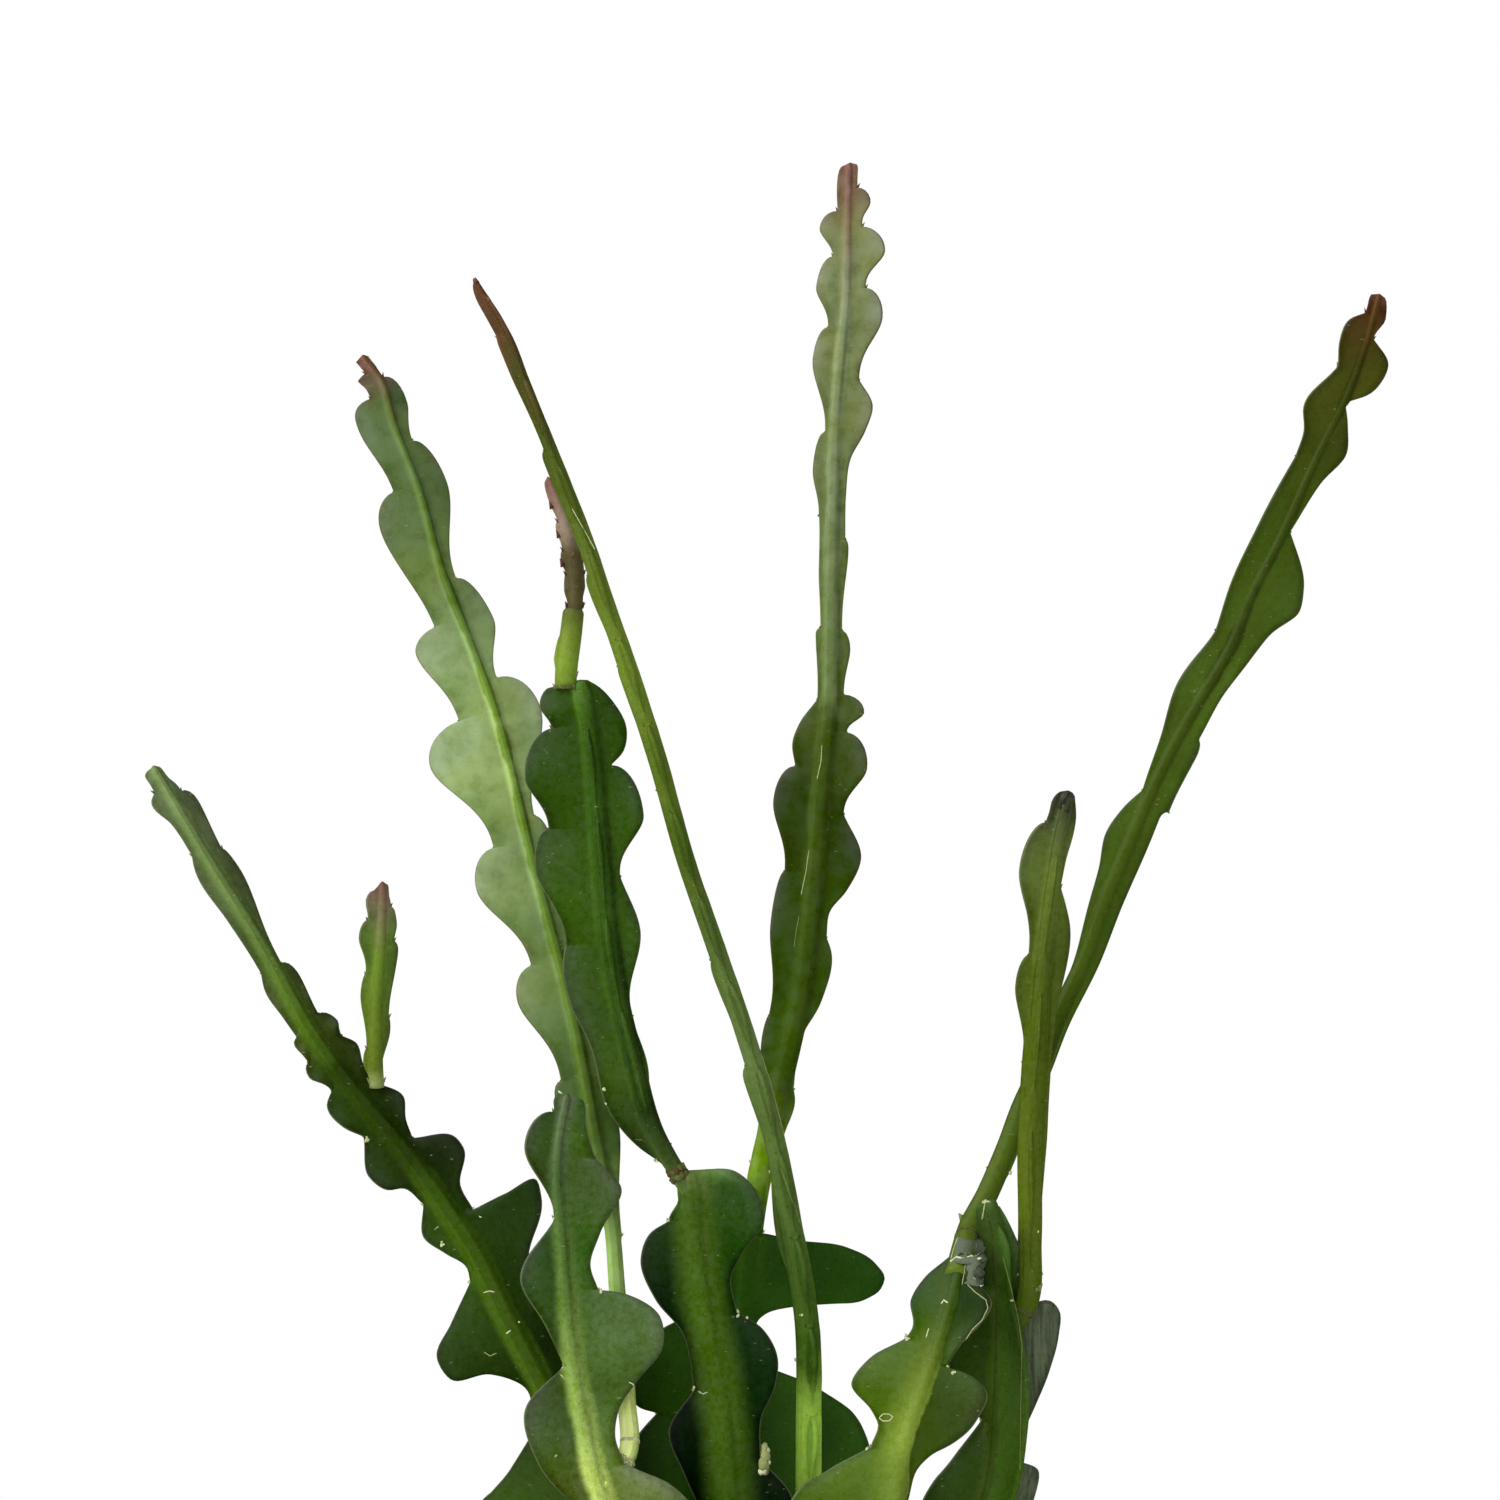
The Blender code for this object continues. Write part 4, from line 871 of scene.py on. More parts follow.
# Each shoot: its CAD node, its own name, its place in the node's list, how slim its core is at the
# foot and the tip beside the solid's, and its skin
SHOOTS = (
    ("far_left_stem", "far_left_main", far_left_stem, 0, (0.9, 0.75), Skin(
        [(120, (50, 82, 14)), (169, (52, 80, 12)), (205, (28, 48, 2)), (240, (50, 80, 16)),
         (266, (28, 46, 4)), (292, (38, 60, 6)), (306, (56, 74, 16)), (395, (96, 112, 72))],
        [(120, (82, 114, 30)), (169, (80, 108, 26)), (203, (58, 84, 12)), (258, (50, 76, 6)),
         (272, (32, 50, 2)), (297, (36, 56, 2)), (315, (66, 92, 18)), (385, (100, 118, 70))],
        (2.9, 1.4), 0.62, 0.15, 0.2, 0.08, None)),
    ("far_left_stem", "far_left_shoot", far_left_stem, 1, (0.8, 0.8), Skin(
        [(292, (132, 146, 88)), (296.5, (120, 136, 70)), (298.5, (80, 98, 28)), (342, (86, 114, 40)),
         (349, (120, 124, 86)), (354, (122, 96, 88)), (358, (112, 78, 70))],
        [(292, (132, 146, 88)), (296.5, (120, 136, 70)), (298.5, (90, 110, 30)), (334, (100, 128, 38)),
         (349, (124, 116, 84)), (358, (112, 78, 70))],
        (2.1, 1.2), 0.85, 0.1, 0.1, 0.15, None)),
    ("front_left_stem", "front_left_main", front_left_stem, 0, (0.78, 0.46), Skin(
        [(120, (38, 60, 12)), (165, (80, 98, 36)), (187, (64, 86, 40)), (197, (52, 72, 26)),
         (213, (60, 86, 32)), (242, (42, 70, 22)), (262, (52, 72, 22)), (290, (48, 74, 24))],
        [(120, (146, 172, 80)), (171, (166, 188, 92)), (187, (134, 160, 76)), (226, (84, 112, 44)),
         (258, (68, 94, 42)), (290, (84, 100, 68))],
        (2.6, 3.4), 1.5, 0.1, 0.38, 0.08, None)),
    # The pale blade's lightest stops near its foot are painted light on a stalk that lies in shade
    ("front_left_stem", "pale_blade", front_left_stem, 1, (1.0, 0.6, 0.5, 0.5), Skin(
        [(164, (170, 210, 112)), (176, (220, 254, 154)), (192, (194, 234, 118)), (280, (70, 98, 40)),
         (412, (142, 166, 110)), (470, (88, 110, 58)), (510, (84, 104, 64)), (525, (102, 72, 66))],
        [(164, (216, 240, 116)), (176, (236, 250, 158)), (230, (162, 196, 108)), (278, (74, 98, 36)),
         (420, (96, 126, 48)), (446, (76, 100, 36)), (500, (72, 94, 38)), (524, (80, 60, 40))],
        (0.6, 0.3), 0.8, 0.55, 0.25, 0.25, None)),
    # The centre stem's darkest low blade stops are partly painted shadow from the lobes of the stem in front
    ("centre_stem", "centre_main", centre_stem, 0, (0.7, 0.7), Skin(
        [(120, (4, 18, 2)), (180, (4, 22, 2)), (232, (12, 40, 2)), (260, (30, 60, 2)),
         (266, (64, 98, 28))],
        [(120, (52, 82, 8)), (217, (66, 96, 18)), (256, (64, 92, 24)), (266, (96, 116, 60))],
        (7.5, 8.0), 1.75, 0.1, 0.35, 0.05, None)),
    ("centre_stem", "centre_branch", centre_stem, 1, (0.9, 0.85), Skin(
        [(258, (62, 78, 32)), (276, (42, 62, 18)), (297, (60, 86, 26)), (320, (48, 76, 16)),
         (340, (54, 84, 18)), (392, (46, 74, 14)), (412, (42, 68, 12)), (422, (48, 74, 18))],
        [(258, (84, 104, 52)), (285, (32, 52, 12)), (320, (42, 68, 16)), (361, (46, 76, 16)),
         (390, (46, 74, 16)), (410, (50, 80, 16)), (422, (76, 110, 38))],
        (1.2, 0.6), 1.15, 0.15, 0.28, 0.06, None)),
    ("centre_stem", "light_segment", centre_stem, 2, (1.05, 1.08, 1.15), Skin(
        [(419, (88, 116, 34)), (422, (104, 130, 38)), (427, (114, 138, 42)), (438, (100, 118, 42)),
         (446, (80, 88, 42))],
        [(419, (88, 116, 34)), (422, (108, 134, 40)), (427, (118, 144, 44)), (438, (104, 124, 44)),
         (446, (80, 88, 42))],
        (1.9, 1.0), 0.9, 0.1, 0.1, 0.12, None)),
    ("centre_stem", "red_shoot", centre_stem, 3, (0.95, 0.8), Skin(
        [(442, (72, 72, 42)), (454, (86, 76, 46)), (462, (80, 72, 46)), (469, (138, 122, 104)),
         (479, (134, 112, 98)), (488, (118, 78, 74))],
        [(442, (72, 72, 42)), (462, (84, 76, 48)), (469, (144, 128, 110)), (488, (122, 84, 78))],
        (1.9, 1.0), 0.85, 0.2, 0.2, 0.12, None)),
    # The edge-on stem's greyer stops near 306 mm are partly a painted highlight
    ("edge_on_stem", "edge_on_main", edge_on_stem, 0, (1.0, 1.0), Skin(
        [(120, (148, 188, 64)), (186, (156, 206, 70)), (206, (56, 90, 16)), (306, (92, 114, 54)),
         (369, (66, 88, 20)), (429, (98, 122, 36)), (490, (70, 82, 20)), (552, (100, 60, 46))],
        [(120, (148, 188, 64)), (186, (172, 218, 80)), (210, (64, 96, 20)), (306, (98, 120, 62)),
         (369, (74, 96, 24)), (429, (104, 128, 40)), (510, (64, 76, 26)), (552, (104, 64, 48))],
        (1.7, 0.9), 0.85, 0.15, 0.12, 0.08, None)),
    # The back stem's colours are lighter than its own, painted light on a stem that stands in shade behind
    # the others
    ("back_stem", "back_main", back_stem, 0, (0.95, 0.95), Skin(
        [(120, (30, 60, 8)), (206, (48, 84, 18)), (230, (32, 64, 8)), (246, (34, 66, 12))],
        [(120, (38, 82, 8)), (226, (48, 92, 10)), (246, (62, 100, 14))],
        (3.4, 3.0), 1.71, 0.1, 0.05, 0.04, None)),
    ("back_stem", "tall_blade", back_stem, 1, (0.9, 0.9, 0.9, 0.55, 0.6), Skin(
        [(226, (50, 80, 12)), (244, (60, 96, 14)), (264, (128, 152, 44)), (290, (66, 96, 14)),
         (382, (46, 66, 8)), (442, (86, 104, 50)), (566, (112, 122, 80)), (588, (106, 70, 60))],
        [(226, (48, 80, 6)), (244, (62, 94, 16)), (266, (124, 162, 34)), (292, (62, 86, 12)),
         (410, (60, 80, 18)), (420, (100, 118, 68)), (538, (122, 136, 98)), (588, (120, 84, 78))],
        (0.9, 0.5), 1.08, 0.6, 0.42, 0.2, None)),
    ("front_right_stem", "front_right_main", front_right_stem, 0, (0.78, 0.55), Skin(
        [(120, (68, 94, 10)), (175, (76, 106, 14)), (195, (70, 96, 20)), (212, (70, 104, 18)),
         (225, (40, 72, 4)), (239, (42, 70, 8))],
        [(120, (102, 126, 46)), (172, (108, 134, 44)), (182, (122, 146, 52)), (204, (92, 114, 30)),
         (220, (58, 82, 16)), (239, (48, 68, 18))],
        (9.0, 0.5), 0.55, 0.1, 0.18, 0.1, None)),
    ("front_right_stem", "arching_branch", front_right_stem, 1, (1.0, 0.6, 0.6), Skin(
        [(231, (88, 120, 28)), (283, (56, 80, 10)), (425, (66, 88, 18)), (450, (66, 88, 18)),
         (475, (54, 74, 8)), (522, (70, 72, 14)), (541, (70, 36, 16)), (547, (98, 58, 50))],
        [(231, (90, 112, 32)), (310, (66, 88, 14)), (357, (68, 90, 14)), (450, (50, 65, 10)),
         (495, (58, 72, 10)), (508, (56, 66, 10)), (525, (60, 54, 6)), (547, (94, 60, 26))],
        (0.9, 0.6), 1.05, 0.1, 0.05, 0.06, None)),
    ("right_stem", "right_main", right_stem, 0, (0.95, 0.9), Skin(
        [(120, (42, 66, 14)), (186, (48, 72, 18)), (218, (36, 58, 8)), (234, (38, 66, 12)),
         (256, (66, 90, 40))],
        [(120, (56, 76, 12)), (186, (58, 80, 16)), (218, (50, 72, 12)), (256, (68, 92, 36))],
        (2.5, 1.5), 1.9, 0.1, 0.15, 0.05, (86, 95, 74))),
    ("right_stem", "right_branch", right_stem, 1, (1.0, 1.0), Skin(
        [(213, (54, 72, 10)), (250, (76, 96, 18)), (280, (70, 88, 16)), (345, (74, 92, 24)),
         (361, (84, 104, 42)), (374, (78, 94, 40)), (380, (58, 66, 34)), (388, (46, 52, 32))],
        [(213, (68, 92, 20)), (250, (90, 108, 24)), (325, (72, 90, 14)), (361, (96, 114, 46)),
         (388, (68, 74, 54))],
        (1.9, 0.9), 1.25, 0.1, 0.2, 0.07, None)),
)

# How strong the painted light on the left flank of a rib is, with painted shade on its right one
PAINTED_RIB_LIGHT = {
    "pale_blade": 0.5, "far_left_main": 0.4, "tall_blade": 0.25, "centre_branch": 0.45,
    "front_left_main": 0.2,
}

# A skin with stronger spots than this is pale, with a thin brown margin, and the tint of warm patches
PALE_SPOTS = 0.5
WARM = (1.08, 1.0, 0.66, 1.0)


def linear(colour):
    """An 8-bit sRGB colour as the linear colour that a shader takes."""
    made = []
    for value in colour:
        share = value / 255
        made.append(share / 12.92 if share <= 0.04045 else ((share + 0.055) / 1.055) ** 2.4)
    return (*made, 1.0)


class Tree:
    """A node tree, built by short calls."""

    def __init__(self, tree):
        self.tree = tree

    def put(self, socket, value):
        """Links an output to a socket, or sets the socket to a plain value."""
        if isinstance(value, bpy.types.NodeSocket):
            self.tree.links.new(value, socket)
        else:
            socket.default_value = value

    def node(self, kind, inputs=None, **settings):
        """Adds a node with its settings, and fills its inputs."""
        made = self.tree.nodes.new("ShaderNode" + kind)
        for name, value in settings.items():
            setattr(made, name, value)
        for socket, value in (inputs or {}).items():
            self.put(made.inputs[socket], value)
        return made


class Graph(Tree):
    """A material, built by short calls that return their output sockets."""

    def __init__(self, name):
        self.material = bpy.data.materials.new(name)
        self.material.use_nodes = True
        super().__init__(self.material.node_tree)
        self.shader = self.tree.nodes["Principled BSDF"]
        self.place = self.node("TexCoord").outputs["Object"]

    def value(self, name):
        return self.node("Attribute", attribute_name=name).outputs["Fac"]

    def stretched(self, *scale):
        return self.node("Mapping", {"Vector": self.place, "Scale": scale}).outputs["Vector"]

    def noise(self, scale, detail=3.0, roughness=0.55, place=None):
        inputs = {"Vector": place or self.place, "Scale": scale, "Detail": detail, "Roughness": roughness}
        return self.node("TexNoise", inputs).outputs["Fac"]

    def cells(self, scale):
        return self.node("TexVoronoi", {"Vector": self.place, "Scale": scale}).outputs["Distance"]

    def ease(self, value, low, high, to_low=0.0, to_high=1.0):
        """A number that changes smoothly while a value goes from low to high."""
        inputs = {"Value": value, "From Min": low, "From Max": high, "To Min": to_low, "To Max": to_high}
        return self.node("MapRange", inputs, interpolation_type="SMOOTHSTEP").outputs["Result"]

    def vary(self, noise, to_low, to_high):
        """A number that rises with a noise, between the values that the noise seldom leaves."""
        return self.ease(noise, 0.3, 0.7, to_low, to_high)

    def math(self, operation, first, second=0.0):
        return self.node("Math", {0: first, 1: second}, operation=operation).outputs[0]

    def add(self, first, second):
        return self.math("ADD", first, second)

    def times(self, first, second):
        return self.math("MULTIPLY", first, second)

    def mix(self, share, first, second, blend="MIX"):
        inputs = {"Factor": share, "A": first, "B": second}
        return self.node("Mix", inputs, data_type="RGBA", blend_type=blend).outputs["Result"]

    def ramp(self, value, stops):
        made = self.node("ValToRGB", {"Fac": value})
        elements = made.color_ramp.elements
        for element, (position, colour) in zip(elements, (stops[0], stops[-1])):
            element.position, element.color = position, linear(colour)
        for position, colour in stops[1:-1]:
            elements.new(position).color = linear(colour)
        return made.outputs["Color"]

    def shade(self, colour, value, saturation=1.0):
        inputs = {"Color": colour, "Value": value, "Saturation": saturation}
        return self.node("HueSaturation", inputs).outputs["Color"]

    def grain(self, colour, scale, detail, darkest, lightest):
        """A colour made darker and lighter by fine noise."""
        return self.shade(colour, self.vary(self.noise(scale, detail), darkest, lightest))

    def bump(self, height, distance, strength=1.0, normal=None):
        inputs = {"Strength": strength, "Distance": distance, "Height": height}
        if normal is not None:
            inputs["Normal"] = normal
        return self.node("Bump", inputs).outputs["Normal"]

    def finish(self, colour, roughness, normal=None, **plain):
        """Feeds the shader, and returns the material."""
        inputs = {"Base Color": colour, "Roughness": roughness}
        if normal is not None:
            inputs["Normal"] = normal
        inputs.update((name.replace("_", " "), number) for name, number in plain.items())
        for name, value in inputs.items():
            self.put(self.shader.inputs[name], value)
        return self.material


def skin_material(name, skin, spine):
    """A stem's waxy skin: its colours along the stem with painted light and shade, its rib, its brown margin
    on pale skins and painted rim highlight on the others, its bloom with painted sheen, and fine marks.
    """
    graph = Graph(name + "_skin")
    along, out, side, lobe, edge = (graph.value(v) for v in ("along", "out_mm", "side", "lobe", "edge_mm"))
    pale = skin.spots > PALE_SPOTS
    broad = graph.noise(70, 3.0, 0.6)
    mottle = graph.noise(210 if pale else 520, 4.0, 0.6)
    grain = graph.noise(2300, 2.0, 0.6)

    # The colours of the blades and the rib, with their painted light and shade, which change along the stem
    # and a little unevenly
    drift = graph.add(along, graph.times(graph.vary(broad, -1.0, 1.0), 0.010))
    blade, rib = (
        graph.ramp(drift, [(spine.part_at(z), colour) for z, colour in stops])
        for stops in (skin.blade, skin.rib)
    )
    # Painted shade on the right-hand blades where skin.right is below 1, painted light where it is above 1
    side_light_share = graph.ease(side, -0.3, 0.5)
    blade = graph.shade(blade, graph.ease(side_light_share, 0.0, 1.0, 1.0, skin.right))
    if skin.grey_wing:
        outer = graph.times(graph.ease(side, 0.6, 0.75), graph.ease(out, 0.5, 4.0, 0.0, 0.85))
        streaks = graph.vary(graph.noise(1.0, 3.0, 0.6, graph.stretched(700, 700, 60)), 0.55, 1.4)
        blade = graph.mix(outer, blade, graph.shade(linear(skin.grey_wing), streaks))
    wander = graph.vary(broad, -0.6, 0.6)
    # The rib's colour band is partly painted light on the rib's lit flank
    rib_end = graph.ease(side, -0.2, 0.3, *skin.rib_width)
    near_rib = graph.ease(graph.add(out, wander), -0.3, rib_end, 1.0, 0.0)
    colour = graph.mix(near_rib, blade, rib)

    # The grey bloom with painted sheen: lighter and greyer towards the margins and on the lobes' upper
    # halves, as painted light, and darker on their lower halves, as painted shade
    lobe_light_shade = graph.times(graph.ease(lobe, 0.25, 0.8, -1.0, 1.0), graph.ease(out, 1.0, 9.0, 0.0, 0.8))
    frost_and_sheen = graph.times(graph.ease(lobe, 0.35, 0.75), graph.ease(edge, 0.3, 7.0, 1.3, 0.0))
    frost_and_sheen = graph.times(frost_and_sheen, graph.ease(out, 2.0, 9.0))
    bloom_sheen_and_shade = graph.add(graph.ease(mottle, 0.35, 0.65, -0.45, 0.45), graph.add(lobe_light_shade, frost_and_sheen))
    bloom_sheen_and_shade = graph.times(bloom_sheen_and_shade, skin.bloom)

    # How light the skin is: patches, grain, the bloom with its painted sheen and lobe shade, painted light on
    # the rib's left flank and painted shade on its right, painted shade towards the blades' edges, and the
    # spots
    rough = 0.05 if pale else 0.06 + 0.2 * skin.bloom
    lit = graph.ease(side, -0.5, 0.5, 1.0, -0.55)
    # Painted shade towards the blades' edges, where they round away
    edge_shade = -0.12 if pale or name == "edge_on_main" else -0.34
    spot = graph.cells(150)
    inside = graph.ease(spot, 0.24, 0.30, -0.15 * skin.spots, 0.0)
    ring = graph.math("ABSOLUTE", graph.math("SUBTRACT", spot, 0.28))
    light = graph.vary(broad, 0.93, 1.07)
    for change in (
        graph.vary(mottle, -0.05, 0.05),
        graph.vary(grain, -rough, rough),
        graph.times(bloom_sheen_and_shade, 0.36),
        graph.times(graph.ease(out, 0.2, 2.0, PAINTED_RIB_LIGHT.get(name, 0.0), 0.0), lit),
        graph.times(graph.ease(edge, 0.4, 3.6, edge_shade, 0.0), graph.ease(out, 1.0, 5.0)),
        graph.add(inside, graph.ease(ring, 0.0, 0.05, -0.10 * skin.spots, 0.0)),
    ):
        light = graph.add(light, change)
    colour = graph.shade(colour, light, graph.math("SUBTRACT", 1.0, graph.times(bloom_sheen_and_shade, 0.45)))

    # Warm patches, scratches, flecks, and the margin: thin and brown on pale skins, a thin painted rim
    # highlight on the others
    warm = graph.times(graph.ease(graph.noise(38, 2.0), 0.5, 0.66), 0.5 if pale else 0.25)
    colour = graph.mix(warm, colour, WARM, "MULTIPLY")
    scratch = graph.noise(1.0, 1.0, 0.4, graph.stretched(420, 420, 1500))
    colour = graph.mix(graph.ease(scratch, 0.76, 0.79, 0.0, 0.5), colour, linear((150, 158, 118)))
    fleck = graph.times(graph.ease(graph.cells(330), 0.10, 0.05, 0.0, 0.3), graph.ease(broad, 0.5, 0.65))
    colour = graph.mix(fleck, colour, linear((170, 176, 140)))
    margin = graph.times(graph.ease(edge, 0.1, 0.55, 0.5 if pale else 0.35, 0.0), graph.ease(out, 2.0, 6.0))
    colour = graph.mix(margin, colour, linear((92, 62, 44) if pale else (134, 142, 104)))

    normal = graph.bump(graph.noise(420, 4.0, 0.6), 0.0004, 0.1 if pale else 0.2)
    normal = graph.bump(grain, 0.00006, 0.5, normal)
    return graph.finish(
        colour, graph.vary(mottle, 0.25, 0.38), normal, Specular_IOR_Level=0.2,
        Subsurface_Weight=skin.glow, Subsurface_Radius=(0.9, 1.0, 0.35), Subsurface_Scale=0.002,
    )


def wool_material():
    graph = Graph("areole_wool")
    colour = graph.ramp(graph.value("tone"), [
        (0.0, (84, 64, 38)), (0.2, (86, 98, 42)), (0.45, (136, 146, 82)), (0.7, (186, 192, 138)),
        (0.97, (228, 232, 192)), (1.0, (102, 114, 92)),
    ])
    colour = graph.grain(colour, 2600, 2.0, 0.8, 1.15)
    return graph.finish(colour, 0.85, graph.bump(graph.noise(3000, 2.0), 0.0002, 0.7))


def bract_material():
    graph = Graph("young_bract")
    colour = graph.ramp(graph.value("tone"), [
        (0.0, (56, 56, 48)), (0.2, (88, 54, 40)), (0.6, (128, 92, 70)), (1.0, (128, 150, 80)),
    ])
    colour = graph.grain(colour, 1800, 2.0, 0.85, 1.15)
    return graph.finish(colour, 0.5, graph.bump(graph.noise(2200, 2.0), 0.0001, 0.5))


class Bits:
    """Collects many small shapes into one mesh, each with one value called tone."""

    def __init__(self):
        self.points = []
        self.faces = []
        self.tones = []

    def add(self, points, faces, tone):
        first = len(self.points)
        self.points.extend(points)
        self.faces.extend(tuple(first + i for i in face) for face in faces)
        self.tones.extend([tone] * len(points))

    def object(self, name, material):
        mesh = bpy.data.meshes.new(name)
        mesh.from_pydata([tuple(Vector(point) * MM) for point in self.points], [], self.faces)
        mesh.attributes.new("tone", "FLOAT", "POINT").data.foreach_set("value", self.tones)
        mesh.shade_smooth()
        mesh.materials.append(material)
        return new_object(name, mesh)


def ball_shape(level):
    built = bmesh.new()
    bmesh.ops.create_icosphere(built, subdivisions=level, radius=1.0)
    points = [vert.co.copy() for vert in built.verts]
    faces = [tuple(vert.index for vert in face.verts) for face in built.faces]
    built.free()
    return points, faces


BALL = ball_shape(2)
SMALL_BALL = ball_shape(1)


def lump(chance, centre, axes, size, rough, tone, bits, ball=SMALL_BALL):
    """Adds an uneven pebble: three axes give its directions, and size its half lengths."""
    points = []
    for point in ball[0]:
        swell = 1 + rough * (chance.random() - 0.5)
        place = Vector(centre)
        for axis, half, part in zip(axes, size, point):
            place += Vector(axis) * (half * part * swell)
        points.append(place)
    bits.add(points, ball[1], tone)


def spike(base, direction, length, radius, tone, bits, sides=5, flat=1.0):
    """Adds a thin closed cone."""
    direction = Vector(direction).normalized()
    side = direction.orthogonal().normalized()
    other = direction.cross(side)
    base = Vector(base)
    points = [base + direction * length, base - direction * 0.2]
    for k in range(sides):
        turn = 2 * math.pi * k / sides
        points.append(base + side * (radius * math.cos(turn)) + other * (radius * flat * math.sin(turn)))
    faces = []
    for k in range(sides):
        first, second = 2 + k, 2 + (k + 1) % sides
        faces.append((0, first, second))
        faces.append((1, second, first))
    bits.add(points, faces, tone)


def notch_places(shoot):
    """Each notch of a shoot: its place, the way out, the way along, and its share of the length."""
    spine = Spine(shoot)
    found = []
    for index, wing in enumerate(wings_of(shoot)):
        if isinstance(wing, HiddenWing) and faces_viewer(wing):
            continue
        for (s, reach), *_ in lobes_of(wing, spine)[:-1]:
            if s > spine.length - NOTCH_FROM_TIP:
                continue
            s = np.array([s])
            centre, ahead, right, back = (row[0] for row in spine.frames(s))
            outward, across = ways(azimuth_at(wing, spine, s)[0], right, back)
            radius = spine.radius(s)[0]
            reach = max(reach, radius)
            place = centre + reach * outward + wave_at(s, index, reach - radius)[0] * across
            if place[2] > ROOT_TOP + CLEAR_OF_SOIL:
                found.append((place, outward, ahead, float(s[0]) / spine.length))
    return found


def add_areoles(shoots, tufts, scales, chance):
    """The woolly tufts at a stem's notches, and the small scales of its young tips."""
    for own_name, shoot in shoots:
        length = Spine(shoot).length
        young = own_name in YOUNG_SHOOTS
        for place, outward, ahead, share in notch_places(shoot):
            place, outward, ahead = Vector(place), Vector(outward), Vector(ahead)
            to_tip = (1 - share) * length
            tip = to_tip < SCALY_TIP or young
            old = place[2] < OLD_BELOW and not young
            size = WOOL_RADIUS * (1.0 if old else 0.5 if tip else 0.6) * chance.uniform(0.8, 1.25)
            upward = (outward + 0.9 * ahead).normalized()
            side = outward.cross(ahead).normalized()
            centre = place + upward * size * 0.15
            lump(chance, centre, (outward, side, ahead), (size * 0.9, size, size), 0.5,
                 chance.uniform(0.45, 1.0) if old else chance.uniform(0.0, 0.45), tufts)
            if old:
                for _ in range(2):
                    away = side * chance.uniform(-1, 1) * size + ahead * chance.uniform(-0.5, 1) * size
                    small = size * chance.uniform(0.4, 0.65)
                    lump(chance, centre + away, (outward, side, ahead), (small, small, small), 0.5,
                         chance.uniform(0.5, 1.0), tufts)
            for _ in range(4 if old else 2):
                lean = Vector([chance.uniform(-0.6, 0.6) for _ in range(3)])
                bristle = BRISTLE_LENGTH * chance.uniform(0.5, 1.0) * (1.0 if old else 0.5)
                spike(centre, upward + lean, bristle, BRISTLE_RADIUS, chance.uniform(0.1, 0.7), tufts)
            if tip:
                tone = 0.15 if to_tip < BROWN_TIP or own_name == "red_shoot" else 0.7
                base, way = place - upward * 0.4, upward + 0.5 * ahead
                spike(base, way, BRACT_LENGTH * chance.uniform(0.8, 1.2), BRACT_RADIUS, tone, scales, 8, 0.45)


def turned(name, profile, ripple=0.0):
    """A solid turned round the Z axis from (radius, height) points, with wheel marks of a depth in mm."""
    built = bmesh.new()
    for radius, height in profile:
        built.verts.new((radius * MM, 0, height * MM))
    built.verts.ensure_lookup_table()
    for first, second in zip(built.verts[:-1], built.verts[1:]):
        built.edges.new((first, second))
    bmesh.ops.spin(
        built, geom=built.verts[:] + built.edges[:], cent=(0, 0, 0), axis=(0, 0, 1),
        angle=2 * math.pi, steps=POT_SEGMENTS, use_merge=True,
    )
    bmesh.ops.remove_doubles(built, verts=built.verts, dist=0.00001)
    for vert in built.verts:
        away = math.hypot(vert.co.x, vert.co.y)
        if ripple and away > WHEEL_MARKS_FROM * MM:
            turn = math.atan2(vert.co.y, vert.co.x)
            height = vert.co.z / MM
            push = math.sin(height * 1.9 + 0.7 * math.sin(turn)) + math.sin(height * 0.8 + 2 * turn)
            shrink = 1 - ripple * MM * (1 + 0.25 * push) / away
            vert.co.x *= shrink
            vert.co.y *= shrink
    bmesh.ops.recalc_face_normals(built, faces=built.faces)
    mesh = finished(built, name)
    mesh.shade_smooth()
    mesh.set_sharp_from_angle(angle=math.radians(SHARP_ANGLE))
    return new_object(name, mesh)


def wall_radius(height):
    heights = (FLOOR, BAND_BOTTOM, POT_HEIGHT)
    radii = (FLOOR_RADIUS, BODY_TOP_RADIUS - WALL, RIM_RADIUS - WALL)
    return float(np.interp(height, heights, radii))


def round_corner(x, z, start, end):
    """Profile points round an edge's centre, its angles in degrees from outward."""
    turns = np.radians(np.linspace(start, end, CORNER_POINTS))
    return [(x + EDGE_ROUND * math.cos(turn), z + EDGE_ROUND * math.sin(turn)) for turn in turns]


def between(first, second, step=2.5):
    """Profile points on the straight line between two others."""
    count = max(1, round(math.dist(first, second) / step))
    return [tuple(a + (b - a) * k / count for a, b in zip(first, second)) for k in range(1, count)]


